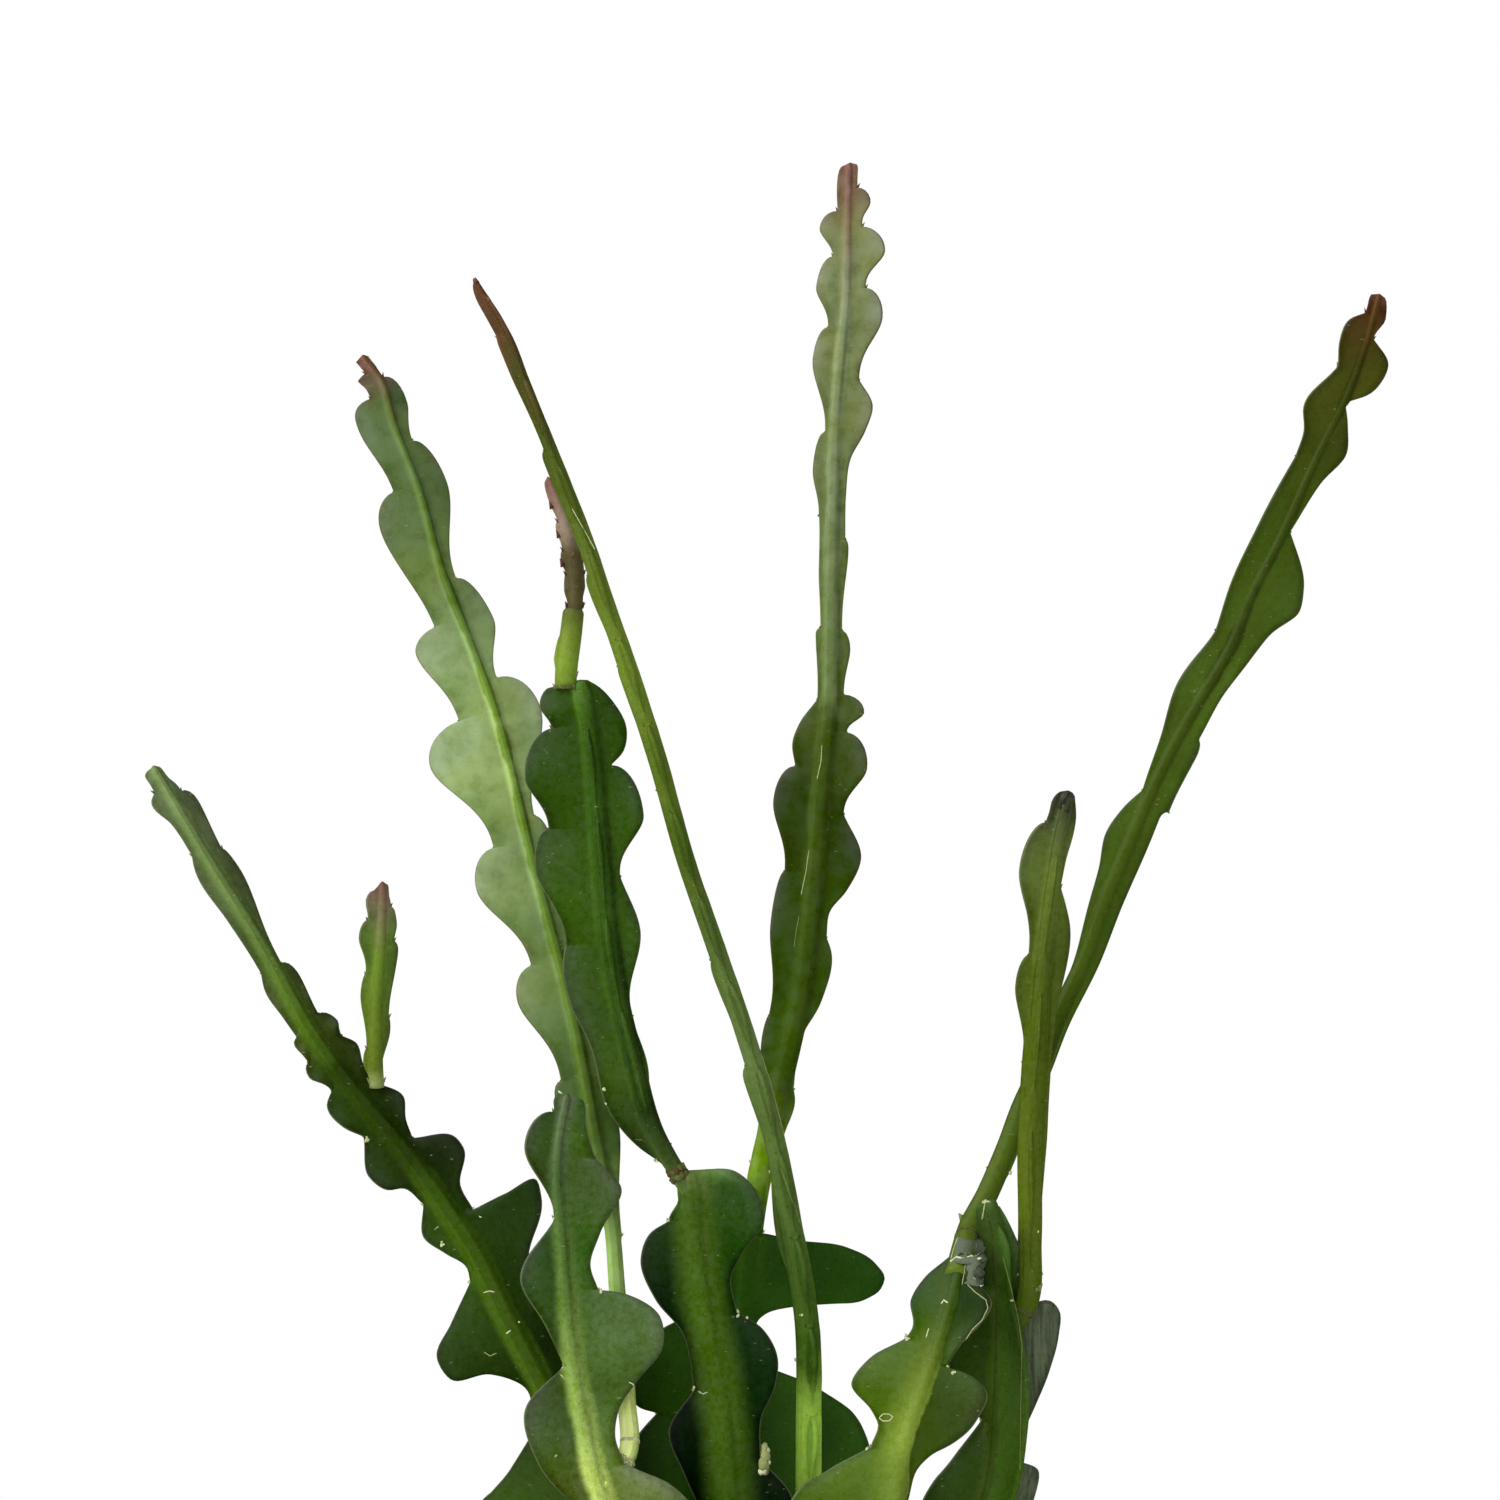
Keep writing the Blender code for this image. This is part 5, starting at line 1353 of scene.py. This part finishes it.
def pot_material():
    graph = Graph("terracotta_clay")
    height = graph.node("SeparateXYZ", {0: graph.place}).outputs["Z"]
    broad = graph.noise(28, 4.0, 0.6)
    mottle = graph.noise(150, 6.0, 0.65)
    grain = graph.noise(1300, 3.0, 0.6)
    bands = graph.noise(1.0, 3.0, 0.5, graph.stretched(9, 9, 260))
    colour = graph.ramp(
        graph.ease(broad, 0.25, 0.75),
        [(0.0, (158, 82, 54)), (0.45, (176, 96, 64)), (0.75, (190, 110, 76)), (1.0, (198, 124, 92))],
    )
    colour = graph.shade(colour, graph.vary(bands, 0.93, 1.06))
    colour = graph.shade(colour, graph.vary(grain, 0.9, 1.1))
    damp = graph.ease(graph.add(height, graph.times(broad, 0.02)), 0.03, 0.0, 0.0, 0.35)
    colour = graph.mix(damp, colour, linear((104, 54, 38)))
    chalk = graph.times(graph.ease(mottle, 0.50, 0.68), graph.ease(broad, 0.42, 0.62))
    chalk = graph.times(chalk, graph.ease(height, 0.075, 0.02, 0.15, 0.5))
    colour = graph.mix(chalk, colour, linear((214, 190, 168)))
    pits = graph.times(graph.ease(graph.cells(700), 0.0, 0.16, 0.0, 1.0), 0.5)
    normal = graph.bump(bands, 0.0006, 0.4)
    normal = graph.bump(graph.add(pits, grain), 0.0002, 0.6, normal)
    return graph.finish(colour, graph.vary(mottle, 0.78, 0.94), normal, Specular_IOR_Level=0.3)


def make_pot():
    """The terracotta pot, with softly rounded edges, faint wheel marks and its drain holes."""
    top = POT_HEIGHT - EDGE_ROUND
    lip = wall_radius(top)
    shoulder = (wall_radius(BAND_BOTTOM), BAND_BOTTOM)
    inner_low = (FLOOR_RADIUS + 2, FLOOR + 3)
    profile = [
        (0, 0),
        (BASE_RADIUS - 8, 0),
        *round_corner(BASE_RADIUS - EDGE_ROUND, EDGE_ROUND, -90, 0),
        *between((BASE_RADIUS, EDGE_ROUND), (BODY_TOP_RADIUS, BAND_BOTTOM)),
        (BODY_TOP_RADIUS - 0.2, BAND_BOTTOM - 1.0),
        (BODY_TOP_RADIUS + 0.8, BAND_BOTTOM),
        *round_corner(BAND_FOOT_RADIUS - EDGE_ROUND, BAND_BOTTOM + EDGE_ROUND, -90, 0),
        *between((BAND_FOOT_RADIUS, BAND_BOTTOM + EDGE_ROUND), (RIM_RADIUS, top)),
        *round_corner(RIM_RADIUS - EDGE_ROUND, top, 0, 90),
        *round_corner(lip + EDGE_ROUND, top, 90, 180),
        *between((lip, top), shoulder),
        *between(shoulder, inner_low, 8.0),
        inner_low,
        (FLOOR_RADIUS - 2, FLOOR),
        (0, FLOOR),
    ]
    pot = turned("terracotta_pot", profile, WHEEL_MARKS)
    cutters = []
    for k in range(DRAIN_HOLES):
        turn = 2 * math.pi * (k + 0.5) / DRAIN_HOLES
        built = bmesh.new()
        bmesh.ops.create_cone(
            built, cap_ends=True, segments=40, radius1=DRAIN_RADIUS * MM, radius2=DRAIN_RADIUS * MM,
            depth=40 * MM,
        )
        cutter = new_object("drain_hole", finished(built, "drain_hole"))
        cutter.location = (DRAIN_CIRCLE * math.cos(turn) * MM, DRAIN_CIRCLE * math.sin(turn) * MM, 0)
        hole = pot.modifiers.new("hole", "BOOLEAN")
        hole.operation = "DIFFERENCE"
        hole.solver = "EXACT"
        hole.object = cutter
        cutters.append(cutter)
    bpy.context.view_layer.update()
    graph = bpy.context.evaluated_depsgraph_get()
    mesh = bpy.data.meshes.new_from_object(pot.evaluated_get(graph))
    pot.modifiers.clear()
    pot.data = mesh
    for cutter in cutters:
        bpy.data.objects.remove(cutter)
    pot.data.materials.append(pot_material())
    return pot


def soil_material():
    graph = Graph("potting_soil")
    mottle = graph.noise(420, 6.0, 0.7)
    colour = graph.ramp(
        graph.ease(mottle, 0.25, 0.75),
        [(0.0, (24, 17, 12)), (0.5, (52, 38, 27)), (0.85, (82, 62, 44)), (1.0, (112, 90, 66))],
    )
    normal = graph.bump(graph.noise(500, 6.0, 0.7), 0.0014, 0.9)
    return graph.finish(colour, 0.95, normal, Specular_IOR_Level=0.2)


def crumb_material():
    graph = Graph("soil_bits")
    colour = graph.ramp(graph.value("tone"), [
        (0.0, (30, 21, 15)), (0.35, (58, 42, 30)), (0.6, (92, 66, 44)), (0.75, (124, 88, 56)),
        (0.9, (206, 202, 192)), (1.0, (232, 230, 224)),
    ])
    colour = graph.shade(colour, graph.ease(graph.noise(900, 4.0, 0.7), 0.25, 0.75, 0.7, 1.25))
    normal = graph.bump(graph.noise(1400, 4.0, 0.7), 0.0005, 0.8)
    return graph.finish(colour, 0.92, normal, Specular_IOR_Level=0.25)


def soil_height(x, y):
    """The soil's uneven top."""
    edge = wall_radius(SOIL_EDGE_HEIGHT) - SOIL_GAP
    away = min(math.hypot(x, y) / edge, 1.0)
    bumps = math.sin(x * 0.31 + 1.3) * math.cos(y * 0.27) + 0.6 * math.sin(x * 0.83 + y * 0.61)
    bumps += 0.35 * math.sin(x * 1.9 - y * 1.4) * math.cos(y * 1.7)
    return SOIL_EDGE_HEIGHT + SOIL_MOUND * (1 - away**2) + 0.55 * bumps * (1 - away**6)


def make_soil():
    """The potting mix up to its uneven top, and the crumbs, bark and white grains that lie on it."""
    bottom = FLOOR + SOIL_GAP
    edge = wall_radius(SOIL_EDGE_HEIGHT) - SOIL_GAP
    profile = [
        (0, bottom),
        (wall_radius(bottom) - SOIL_GAP - 0.6, bottom),
        (wall_radius(BAND_BOTTOM) - SOIL_GAP, BAND_BOTTOM),
        (edge, SOIL_EDGE_HEIGHT - 1),
    ]
    for share in np.linspace(1.0, 0.0, SOIL_RINGS):
        profile.append((edge * share, SOIL_EDGE_HEIGHT + SOIL_MOUND * (1 - share**2)))
    soil = turned("soil_body", profile)
    for vert in soil.data.vertices:
        if vert.co.z > (SOIL_EDGE_HEIGHT - 0.5) * MM:
            vert.co.z = soil_height(vert.co.x / MM, vert.co.y / MM) * MM
    soil.data.materials.append(soil_material())
    chance = random.Random(CRUMB_SEED)
    bits = Bits()
    for _ in range(CRUMBS):
        turn = chance.uniform(0, 2 * math.pi)
        away = (edge - FROM_EDGE) * math.sqrt(chance.random())
        x, y = away * math.cos(turn), away * math.sin(turn)
        kind = chance.random()
        size = chance.uniform(0.5, 1.5)
        tone = chance.uniform(0.0, 0.5)
        shape = (size, size * chance.uniform(0.6, 1.0), size * chance.uniform(0.5, 0.9))
        if kind > PERLITE_ABOVE:
            tone = chance.uniform(0.9, 1.0)
            shape = (size * 1.1, size, size * 0.9)
        elif kind > BARK_ABOVE:
            tone = chance.uniform(0.55, 0.75)
            shape = (size * 2.4, size * 1.1, size * 0.35)
        lean = Vector((chance.uniform(-0.5, 0.5), chance.uniform(-0.5, 0.5), 1)).normalized()
        side = lean.cross(Vector((math.cos(turn * 7), math.sin(turn * 7), 0))).normalized()
        centre = (x, y, soil_height(x, y) + shape[2] * 0.35)
        lump(chance, centre, (side, lean.cross(side), lean), shape, 0.5, tone, bits)
    crumbs = bits.object("soil_crumbs", crumb_material())
    for polygon in crumbs.data.polygons:
        polygon.use_smooth = False
    return soil, crumbs


def on_photo(x, y):
    """The front-view point of a photo pixel, in millimetres."""
    return PHOTO_LEFT + PIXEL * x, PHOTO_TOP - PIXEL * y


def touched(pieces, pixel):
    """Where the line of sight through a photo pixel, or one close by, first meets one of the pieces."""
    eye = Vector((VIEW_X, -VIEW_DISTANCE, VIEW_HEIGHT)) * MM
    for away in range(SEARCH_PIXELS):
        for over, down in ((away, 0), (-away, 0), (0, away), (0, -away)):
            x, z = on_photo(pixel[0] + over, pixel[1] + down)
            aim = (Vector((x, 0, z)) * MM - eye).normalized()
            hits = [cast for cast in (piece.ray_cast(eye, aim) for piece in pieces) if cast[0]]
            if hits:
                nearest = min(hits, key=lambda cast: (cast[1] - eye).length)
                return nearest[1] / MM, nearest[2]
    raise ValueError(f"{pieces[0].name} isn't met near pixel {tuple(pixel)}")


# Marks that the front view shows, by the shoot they lie on, a few of them painted highlights: their photo
# pixels, where a bump has one and a line has several, their half width in mm, and their tone: 0 brown to 1
# cream
MARKS = {
    "far_left_main": [
        ([(367, 1140)], 1.0, 0.7), ([(375, 1084)], 0.8, 0.9), ([(442, 1245)], 0.8, 0.8),
        ([(434, 1230), (439, 1226)], 0.2, 0.5), ([(479, 1216), (482, 1218)], 0.22, 0.9),
        ([(483, 1293), (489, 1291), (495, 1292)], 0.2, 0.8), ([(519, 1322)], 0.45, 0.9),
        ([(506, 1334), (511, 1330)], 0.22, 0.9), ([(484, 1352), (490, 1356), (497, 1353)], 0.15, 0.55),
    ],
    "pale_blade": [([(558, 1091), (563, 1094)], 0.35, 0.9), ([(576, 1150)], 0.55, 1.0)],
    "front_left_main": [
        ([(601, 1291)], 0.7, 0.8), ([(556, 1364), (560, 1369)], 0.15, 0.8),
        ([(560, 1374), (564, 1378)], 0.15, 0.8), ([(556, 1456)], 0.7, 0.5),
        ([(629, 1382), (636, 1386)], 0.2, 0.9),
    ],
    "centre_main": [
        ([(738, 1316)], 0.7, 0.9), ([(748, 1318)], 0.55, 0.8), ([(690, 1388)], 0.6, 0.9),
        ([(698, 1391), (703, 1394), (708, 1392)], 0.2, 0.8),
    ],
    "centre_branch": [([(604, 1089)], 0.7, 0.8), ([(605, 1104)], 0.5, 0.8)],
    "edge_on_main": [
        ([(802, 1315)], 0.6, 0.9), ([(572, 508), (583, 528), (595, 550)], 0.16, 0.8),
        # These two lines are painted highlight streaks, drawn as pale raised lines
        ([(766, 1055), (774, 1085), (782, 1115), (787, 1135)], 0.14, 0.55),
        ([(781, 1168), (790, 1195), (801, 1225)], 0.15, 0.42),
    ],
    "front_right_main": [
        ([(941, 1304), (944, 1300), (948, 1303)], 0.25, 0.9), ([(926, 1338), (929, 1328)], 0.22, 0.8),
        ([(907, 1339)], 0.8, 0.8), ([(953, 1373)], 0.8, 0.8), ([(867, 1448)], 0.8, 0.8),
        ([(967, 1284), (975, 1292), (986, 1300), (988, 1308), (982, 1320), (972, 1330),
         (964, 1342)], 0.16, 0.65),
        ([(950, 1262), (957, 1257), (964, 1259), (971, 1256), (978, 1259), (985, 1257)], 0.35, 0.92),
        ([(958, 1237), (954, 1248), (950, 1262)], 0.16, 0.8),
        ([(976, 1242), (978, 1251), (975, 1258)], 0.2, 0.9),
        ([(966, 1260), (964, 1274), (962, 1285)], 0.12, 0.7),
        ([(879, 1418), (883, 1414), (889, 1414), (893, 1417), (889, 1421), (883, 1421),
         (879, 1418)], 0.16, 0.9),
    ],
    "right_branch": [([(1037, 1290)], 0.9, 0.35), ([(1038, 1232)], 0.4, 0.9)],
    "right_main": [
        ([(985, 1202)], 0.9, 0.75), ([(984, 1201), (990, 1202)], 0.4, 0.8),
        ([(985, 1204), (982, 1220)], 0.25, 0.7),
        # A painted rim highlight along the front wing's edge, drawn as a pale raised line
        ([(1003, 1257), (1009, 1280), (1018, 1318), (1022, 1345), (1021, 1400),
         (1020, 1470)], 0.13, 0.45),
    ],
    "tall_blade": [
        ([(822, 745), (821, 762), (817, 779)], 0.13, 0.8),
        ([(809, 850), (806, 872), (801, 895)], 0.13, 0.8),
        ([(799, 916), (796, 932), (794, 947)], 0.1, 0.55),
    ],
}

# The rough rings at joints, by shoot: the photo pixel, how far the ring stands out and how long it is
# in mm, its tone, and the size of its grains
COLLARS = {
    "centre_branch": [((676, 1174), 0.9, 4.2, 0.12, 1.5)],
    "light_segment": [((568, 688), 0.3, 1.3, 0.2, 0.8)],
    "red_shoot": [((575, 611), 0.35, 1.3, 0.2, 0.7)],
    "right_branch": [((1029, 1313), 0.3, 1.6, 0.1, 0.9)],
    "pale_blade": [((631, 1441), 0.3, 1.4, 0.78, 0.8), ((627, 1463), 1.0, 2.6, 0.75, 0.9)],
    "arching_branch": [((962, 1237), 0.3, 1.3, 0.1, 0.9)],
}

# Small scales by shoot: the pixel where the scale starts, which way it points in the front view, its
# length and half width in mm, and its tone
BRACTS = {
    "red_shoot": [
        ((550, 508), (-0.5, 1.0), 2.6, 1.2, 0.22), ((556, 537), (-0.5, 1.0), 2.6, 1.2, 0.22),
        ((560, 566), (-0.5, 1.0), 2.8, 1.3, 0.2), ((573, 556), (0.1, 1.0), 1.8, 1.2, 0.5),
        ((568, 606), (-0.7, 1.0), 1.8, 1.2, 0.15), ((583, 606), (0.7, 1.0), 1.8, 1.2, 0.15),
    ],
    "light_segment": [
        ((570, 655), (-0.5, 1.0), 1.4, 0.5, 0.9), ((571, 655), (0.1, 1.0), 1.6, 0.5, 1.0),
        ((572, 655), (0.7, 1.0), 1.4, 0.5, 0.9), ((580, 676), (0.7, 1.0), 2.2, 0.9, 0.9),
    ],
    "edge_on_main": [
        ((489, 301), (-0.2, 1.0), 2.0, 0.9, 0.55), ((503, 328), (-0.2, 1.0), 2.0, 0.9, 0.6),
        ((478, 283), (-0.4, 1.0), 2.2, 0.9, 0.2),
    ],
    "right_branch": [
        ((1063, 803), (0.5, 1.0), 4.6, 1.6, 0.0), ((1060, 808), (0.1, 1.0), 3.0, 1.2, 0.05),
        ((1067, 812), (0.5, 1.0), 2.6, 1.2, 0.0), ((1046, 828), (0.0, 1.0), 2.0, 0.9, 0.4),
        ((1038, 1290), (0.8, 1.0), 2.8, 1.6, 0.9),
    ],
    "arching_branch": [((962, 1218), (-0.8, 1.0), 2.4, 1.5, 0.9)],
}

# Shoots whose marks may also lie on what stands against them
ALSO_TOUCHED = {"front_right_main": ("arching_branch", "right_main")}

# The dried skins by shoot: the four corners by pixel, how far they stand off in mm, and their tone
FLAKES = {
    "front_right_main": [
        ([(958, 1237), (984, 1240), (987, 1263), (949, 1262)], 0.4, 1.0),
        ([(969, 1257), (985, 1259), (981, 1286), (965, 1283)], 0.4, 1.0),
    ],
}

# The small bud in a notch: where it stands, and its knobs by their places and sizes in mm and tones
BUD_SHOOT = "centre_main"
BUD_PIXEL = (764, 1472)
BUD_KNOBS = (
    (-1.0, 0.2, 1.0, 0.9), (0.9, 0.1, 0.9, 1.0), (0.0, 0.3, 1.2, 0.8), (-0.1, 2.4, 1.9, 0.5),
    (0.3, 5.0, 1.7, 0.52), (0.1, 7.4, 1.4, 0.56), (-0.9, 6.2, 0.8, 0.8), (1.2, 6.8, 0.8, 0.75),
    (1.5, 3.0, 0.7, 0.8),
)

# How a raised line is divided: mm from one ring of points to the next, and points in a ring
LINE_STEP = 0.5
LINE_SIDES = 6

# The fewest grains round a collar, and how far apart its rows of grains are in sizes of a grain
LEAST_GRAINS = 7
GRAIN_SPACING = 1.4

# How a flake is divided, how ragged it is inside and at its rim in photo pixels, and how thick in mm
FLAKE_ROWS = 9
FLAKE_COLUMNS = 7
RAGGED_INSIDE = 0.8
RAGGED_RIM = 2.2
FLAKE_THICKNESS = 0.3


def add_line(bits, chance, pieces, pixels, radius, tone):
    """Adds a thin raised line that runs over a piece through photo pixels."""
    path = [Vector((*pixel, 0)) for pixel in pixels]
    places = []
    for first, second in zip(path, path[1:]):
        count = max(1, round((second - first).length * PIXEL / LINE_STEP))
        places += [touched(pieces, first.lerp(second, k / count)[:2]) for k in range(count)]
    places.append(touched(pieces, path[-1][:2]))
    rings = []
    for index, (place, normal) in enumerate(places):
        before, after = places[max(index - 1, 0)][0], places[min(index + 1, len(places) - 1)][0]
        along = (after - before).normalized()
        side = along.cross(normal).normalized()
        end = 0.35 if index in (0, len(places) - 1) else 1.0
        size = radius * end * chance.uniform(0.8, 1.2)
        rings.append([
            place + side * (size * math.cos(turn)) + normal * (size * (0.3 + 0.8 * math.sin(turn)))
            for turn in np.linspace(0, 2 * math.pi, LINE_SIDES, endpoint=False)
        ])
    points = [point for ring in rings for point in ring]
    faces = []
    last = LINE_SIDES * (len(rings) - 1)
    for here in range(0, last, LINE_SIDES):
        for i in range(LINE_SIDES):
            j = (i + 1) % LINE_SIDES
            faces.append((here + i, here + j, here + LINE_SIDES + j, here + LINE_SIDES + i))
    faces += [tuple(reversed(range(LINE_SIDES))), tuple(range(last, last + LINE_SIDES))]
    bits.add(points, faces, tone)


def add_bump(bits, chance, pieces, pixel, radius, tone):
    """Adds a small woolly bump on a piece at a photo pixel."""
    place, normal = touched(pieces, pixel)
    side = normal.orthogonal().normalized()
    axes = (side, normal.cross(side), normal)
    lump(chance, place, axes, (radius, radius * 0.8, radius * 0.6), 0.5, tone, bits)
    for _ in range(2):
        away = side * chance.uniform(-0.8, 0.8) * radius + axes[1] * chance.uniform(-0.8, 0.8) * radius
        small = radius * chance.uniform(0.35, 0.6)
        lump(chance, place + away + normal * radius * 0.3, axes, (small, small, small), 0.5, tone, bits)


def add_collar(bits, chance, shoot, pixel, stand_out, length, tone, grain):
    """Adds the rough ring where a shoot begins or was once broken off."""
    spine = Spine(shoot)
    s = np.array([spine.from_front(on_photo(*pixel))[0]])
    centre, ahead, right, back = (Vector(row[0]) for row in spine.frames(s))
    radius = float(spine.radius(s)[0])
    count = max(LEAST_GRAINS, round(2 * math.pi * radius / grain))
    for row in range(max(1, round(length / (GRAIN_SPACING * grain)))):
        for k in range(count):
            turn = 2 * math.pi * (k + 0.5 * (row % 2)) / count
            out = math.cos(turn) * right + math.sin(turn) * back
            side = ahead.cross(out)
            lift = (row + 0.5) * GRAIN_SPACING * grain - length / 2 + chance.uniform(-0.2, 0.2) * grain
            size = (stand_out * chance.uniform(0.7, 1.3), 2.6 * radius / count + 0.4 * grain, grain)
            place = centre + ahead * lift + out * (radius - 0.1)
            own_tone = min(1.0, max(0.0, tone + chance.uniform(-0.12, 0.12)))
            lump(chance, place, (out, side, ahead), size, 0.35, own_tone, bits)


def add_flake(bits, chance, pieces, corners, lift, tone):
    """Adds a thin dried skin over a piece, curved like it, between four photo pixels."""
    rows, columns = FLAKE_ROWS, FLAKE_COLUMNS
    corners = [Vector(corner) for corner in corners]
    top = []
    for i in range(rows):
        left, right = (corners[a].lerp(corners[b], i / (rows - 1)) for a, b in ((0, 3), (1, 2)))
        for j in range(columns):
            inside = 0 < i < rows - 1 and 0 < j < columns - 1
            ragged = RAGGED_INSIDE if inside else RAGGED_RIM
            pixel = left.lerp(right, j / (columns - 1))
            pixel += Vector((chance.uniform(-ragged, ragged), chance.uniform(-ragged, ragged)))
            place = touched(pieces, pixel)[0]
            top.append(place + Vector((0, -lift * chance.uniform(0.6, 1.5), 0)))
    under = [place + Vector((0, FLAKE_THICKNESS, 0)) for place in top]
    count = rows * columns
    faces = []
    for i in range(rows - 1):
        for j in range(columns - 1):
            a, b = i * columns + j, (i + 1) * columns + j
            faces.append((a, b, b + 1, a + 1))
            faces.append((count + a, count + a + 1, count + b + 1, count + b))
    ring = [*range(columns), *range(2 * columns - 1, count, columns)]
    ring += [*range(count - 2, count - columns - 1, -1), *range(count - 2 * columns, 0, -columns)]
    for first, second in zip(ring, ring[1:] + ring[:1]):
        faces.append((first, second, count + second, count + first))
    bits.add(top + under, faces, tone)


def add_bud(bits, chance, pieces):
    """Adds the small pale bud of a few knobs that stands in a notch."""
    place, _ = touched(pieces, BUD_PIXEL)
    axes = (Vector((1, 0, 0)), Vector((0, 1, 0)), Vector((0, 0, 1)))
    for over, up, size, tone in BUD_KNOBS:
        centre = place + Vector((over, 0.4, up))
        lump(chance, centre, axes, (size, size, size * 1.35), 0.3, tone, bits, BALL)


def add_bracts(shoot_name, pieces, bits):
    for pixel, (over, up), length, width, tone in BRACTS.get(shoot_name, ()):
        place, normal = touched(pieces, pixel)
        spike(place - normal * 0.3, (over, -0.25, up), length, width, tone, bits, 10, 0.5)


def add_marks(shoot_name, shoot, pieces, bits, chance):
    for collar in COLLARS.get(shoot_name, ()):
        add_collar(bits, chance, shoot, *collar)
    for flake in FLAKES.get(shoot_name, ()):
        add_flake(bits, chance, pieces, *flake)
    if shoot_name == BUD_SHOOT:
        add_bud(bits, chance, pieces)
    for pixels, radius, tone in MARKS.get(shoot_name, ()):
        if len(pixels) == 1:
            add_bump(bits, chance, pieces, pixels[0], radius, tone)
        else:
            add_line(bits, chance, pieces, pixels, radius, tone)


def attach(piece, node):
    """Makes a piece stand for its CAD node."""
    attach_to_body(piece, "root")
    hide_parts(node)
    return piece


def spread(values, count):
    """Values at even steps, as more or fewer values at even steps."""
    return np.interp(np.linspace(0, 1, count), np.linspace(0, 1, len(values)), values)


def make_stems():
    """Every stem and branch, with the wool at its notches and the marks on it."""
    wool = wool_material()
    bract = bract_material()
    pieces = {}
    stems = {}
    for node, name, tables, index, slim, skin in SHOOTS:
        shoot = tables()[index]
        slims = spread(slim, len(shoot.core))
        shoot = shoot._replace(core=tuple(float(r * s) for r, s in zip(shoot.core, slims)))
        piece = shoot_object(name, shoot)
        piece.data.materials.append(skin_material(name, skin, Spine(shoot)))
        pieces[name] = attach(piece, node)
        stems.setdefault(node, []).append((name, shoot))
    bpy.context.view_layer.update()
    for node, shoots in stems.items():
        chance = random.Random(node)
        tufts, scales = Bits(), Bits()
        add_areoles(shoots, tufts, scales, chance)
        for name, shoot in shoots:
            touching = [pieces[other] for other in (name, *ALSO_TOUCHED.get(name, ()))]
            add_marks(name, shoot, touching, tufts, chance)
            add_bracts(name, touching, scales)
        attach(tufts.object(node + "_areoles", wool), node)
        if scales.points:
            attach(scales.object(node + "_scales", bract), node)


def make_camera():
    data = bpy.data.cameras.new("camera")
    data.sensor_width = SENSOR
    data.lens = LENS
    data.clip_end = 30
    camera = new_object("camera", data)
    camera.location = (VIEW_X * MM, -VIEW_DISTANCE * MM, VIEW_HEIGHT * MM)
    camera.rotation_euler = (math.radians(90), 0, 0)
    bpy.context.scene.camera = camera


def make_light(name, place, aim_height, width, power, colour):
    data = bpy.data.lights.new(name, "AREA")
    data.shape = "DISK"
    data.size = width
    data.energy = power
    data.color = colour
    light = new_object(name, data)
    light.location = place
    light.rotation_euler = (Vector((0, 0, aim_height)) - Vector(place)).to_track_quat("-Z", "Y").to_euler()
    light.visible_glossy = False


def make_world():
    """White to the camera, soft light from all round, and reflections that come from above."""
    world = bpy.data.worlds.new("studio")
    world.use_nodes = True
    world.node_tree.nodes.clear()
    tree = Tree(world.node_tree)
    rays = tree.node("LightPath").outputs
    direction = tree.node("TexCoord").outputs["Generated"]
    gleam_way = Vector(GLEAM_WAY).normalized()
    towards = tree.node("VectorMath", {0: direction, 1: gleam_way}, operation="DOT_PRODUCT").outputs["Value"]
    inputs = {"Value": towards, "From Min": 0.55, "From Max": 0.95, "To Min": 0.0, "To Max": GLEAM}
    gleam = tree.node("MapRange", inputs, interpolation_type="SMOOTHSTEP").outputs["Result"]
    white, soft, mirrored = (
        tree.node("Background", {"Color": (1.0, 1.0, 1.0, 1.0), "Strength": strength}).outputs[0]
        for strength in (1.0, SURROUND, gleam)
    )
    unseen = tree.node("MixShader", {0: rays["Is Glossy Ray"], 1: soft, 2: mirrored}).outputs[0]
    shown = tree.node("MixShader", {0: rays["Is Camera Ray"], 1: unseen, 2: white}).outputs[0]
    tree.node("OutputWorld", {"Surface": shown})
    bpy.context.scene.world = world


def make_floor():
    """A plain pale disc under the pot."""
    built = bmesh.new()
    bmesh.ops.create_circle(built, cap_ends=True, segments=96, radius=FLOOR_REACH)
    floor = new_object("floor", finished(built, "floor"))
    floor.location = (0, 0, -FLOOR_DROP)
    graph = Graph("pale_floor")
    tone = graph.ramp(graph.noise(6, 3.0), [(0.0, (236, 236, 234)), (1.0, (248, 248, 247))])
    floor.data.materials.append(graph.finish(tone, 0.7))
    floor.visible_glossy = False


# The studio: the floor's radius and how far it lies below the pot in metres, the strength of the
# light from all round, and the strength and direction of what the stems mirror
FLOOR_REACH = 2.2
FLOOR_DROP = 0.0002
SURROUND = 0.46
GLEAM = 1.9
GLEAM_WAY = (-0.6, -0.25, 0.76)

# Each lamp: its place and the height that it points at in metres, its width, its power and its colour
LIGHTS = {
    "key": ((-2.0, -1.5, 1.6), 0.35, 1.5, 46, (1.0, 0.985, 0.96)),
    "fill": ((-0.4, -3.2, 0.9), 0.3, 1.2, 26, (1.0, 1.0, 0.98)),
    "side": ((2.3, 1.7, 1.5), 0.3, 1.6, 30, (1.0, 1.0, 1.0)),
}

make_stems()
attach(make_pot(), "pot")
for made in make_soil():
    attach(made, "soil")

make_floor()
make_world()
for lamp, settings in LIGHTS.items():
    make_light(lamp, *settings)
make_camera()
bpy.context.scene.view_settings.view_transform = "Standard"
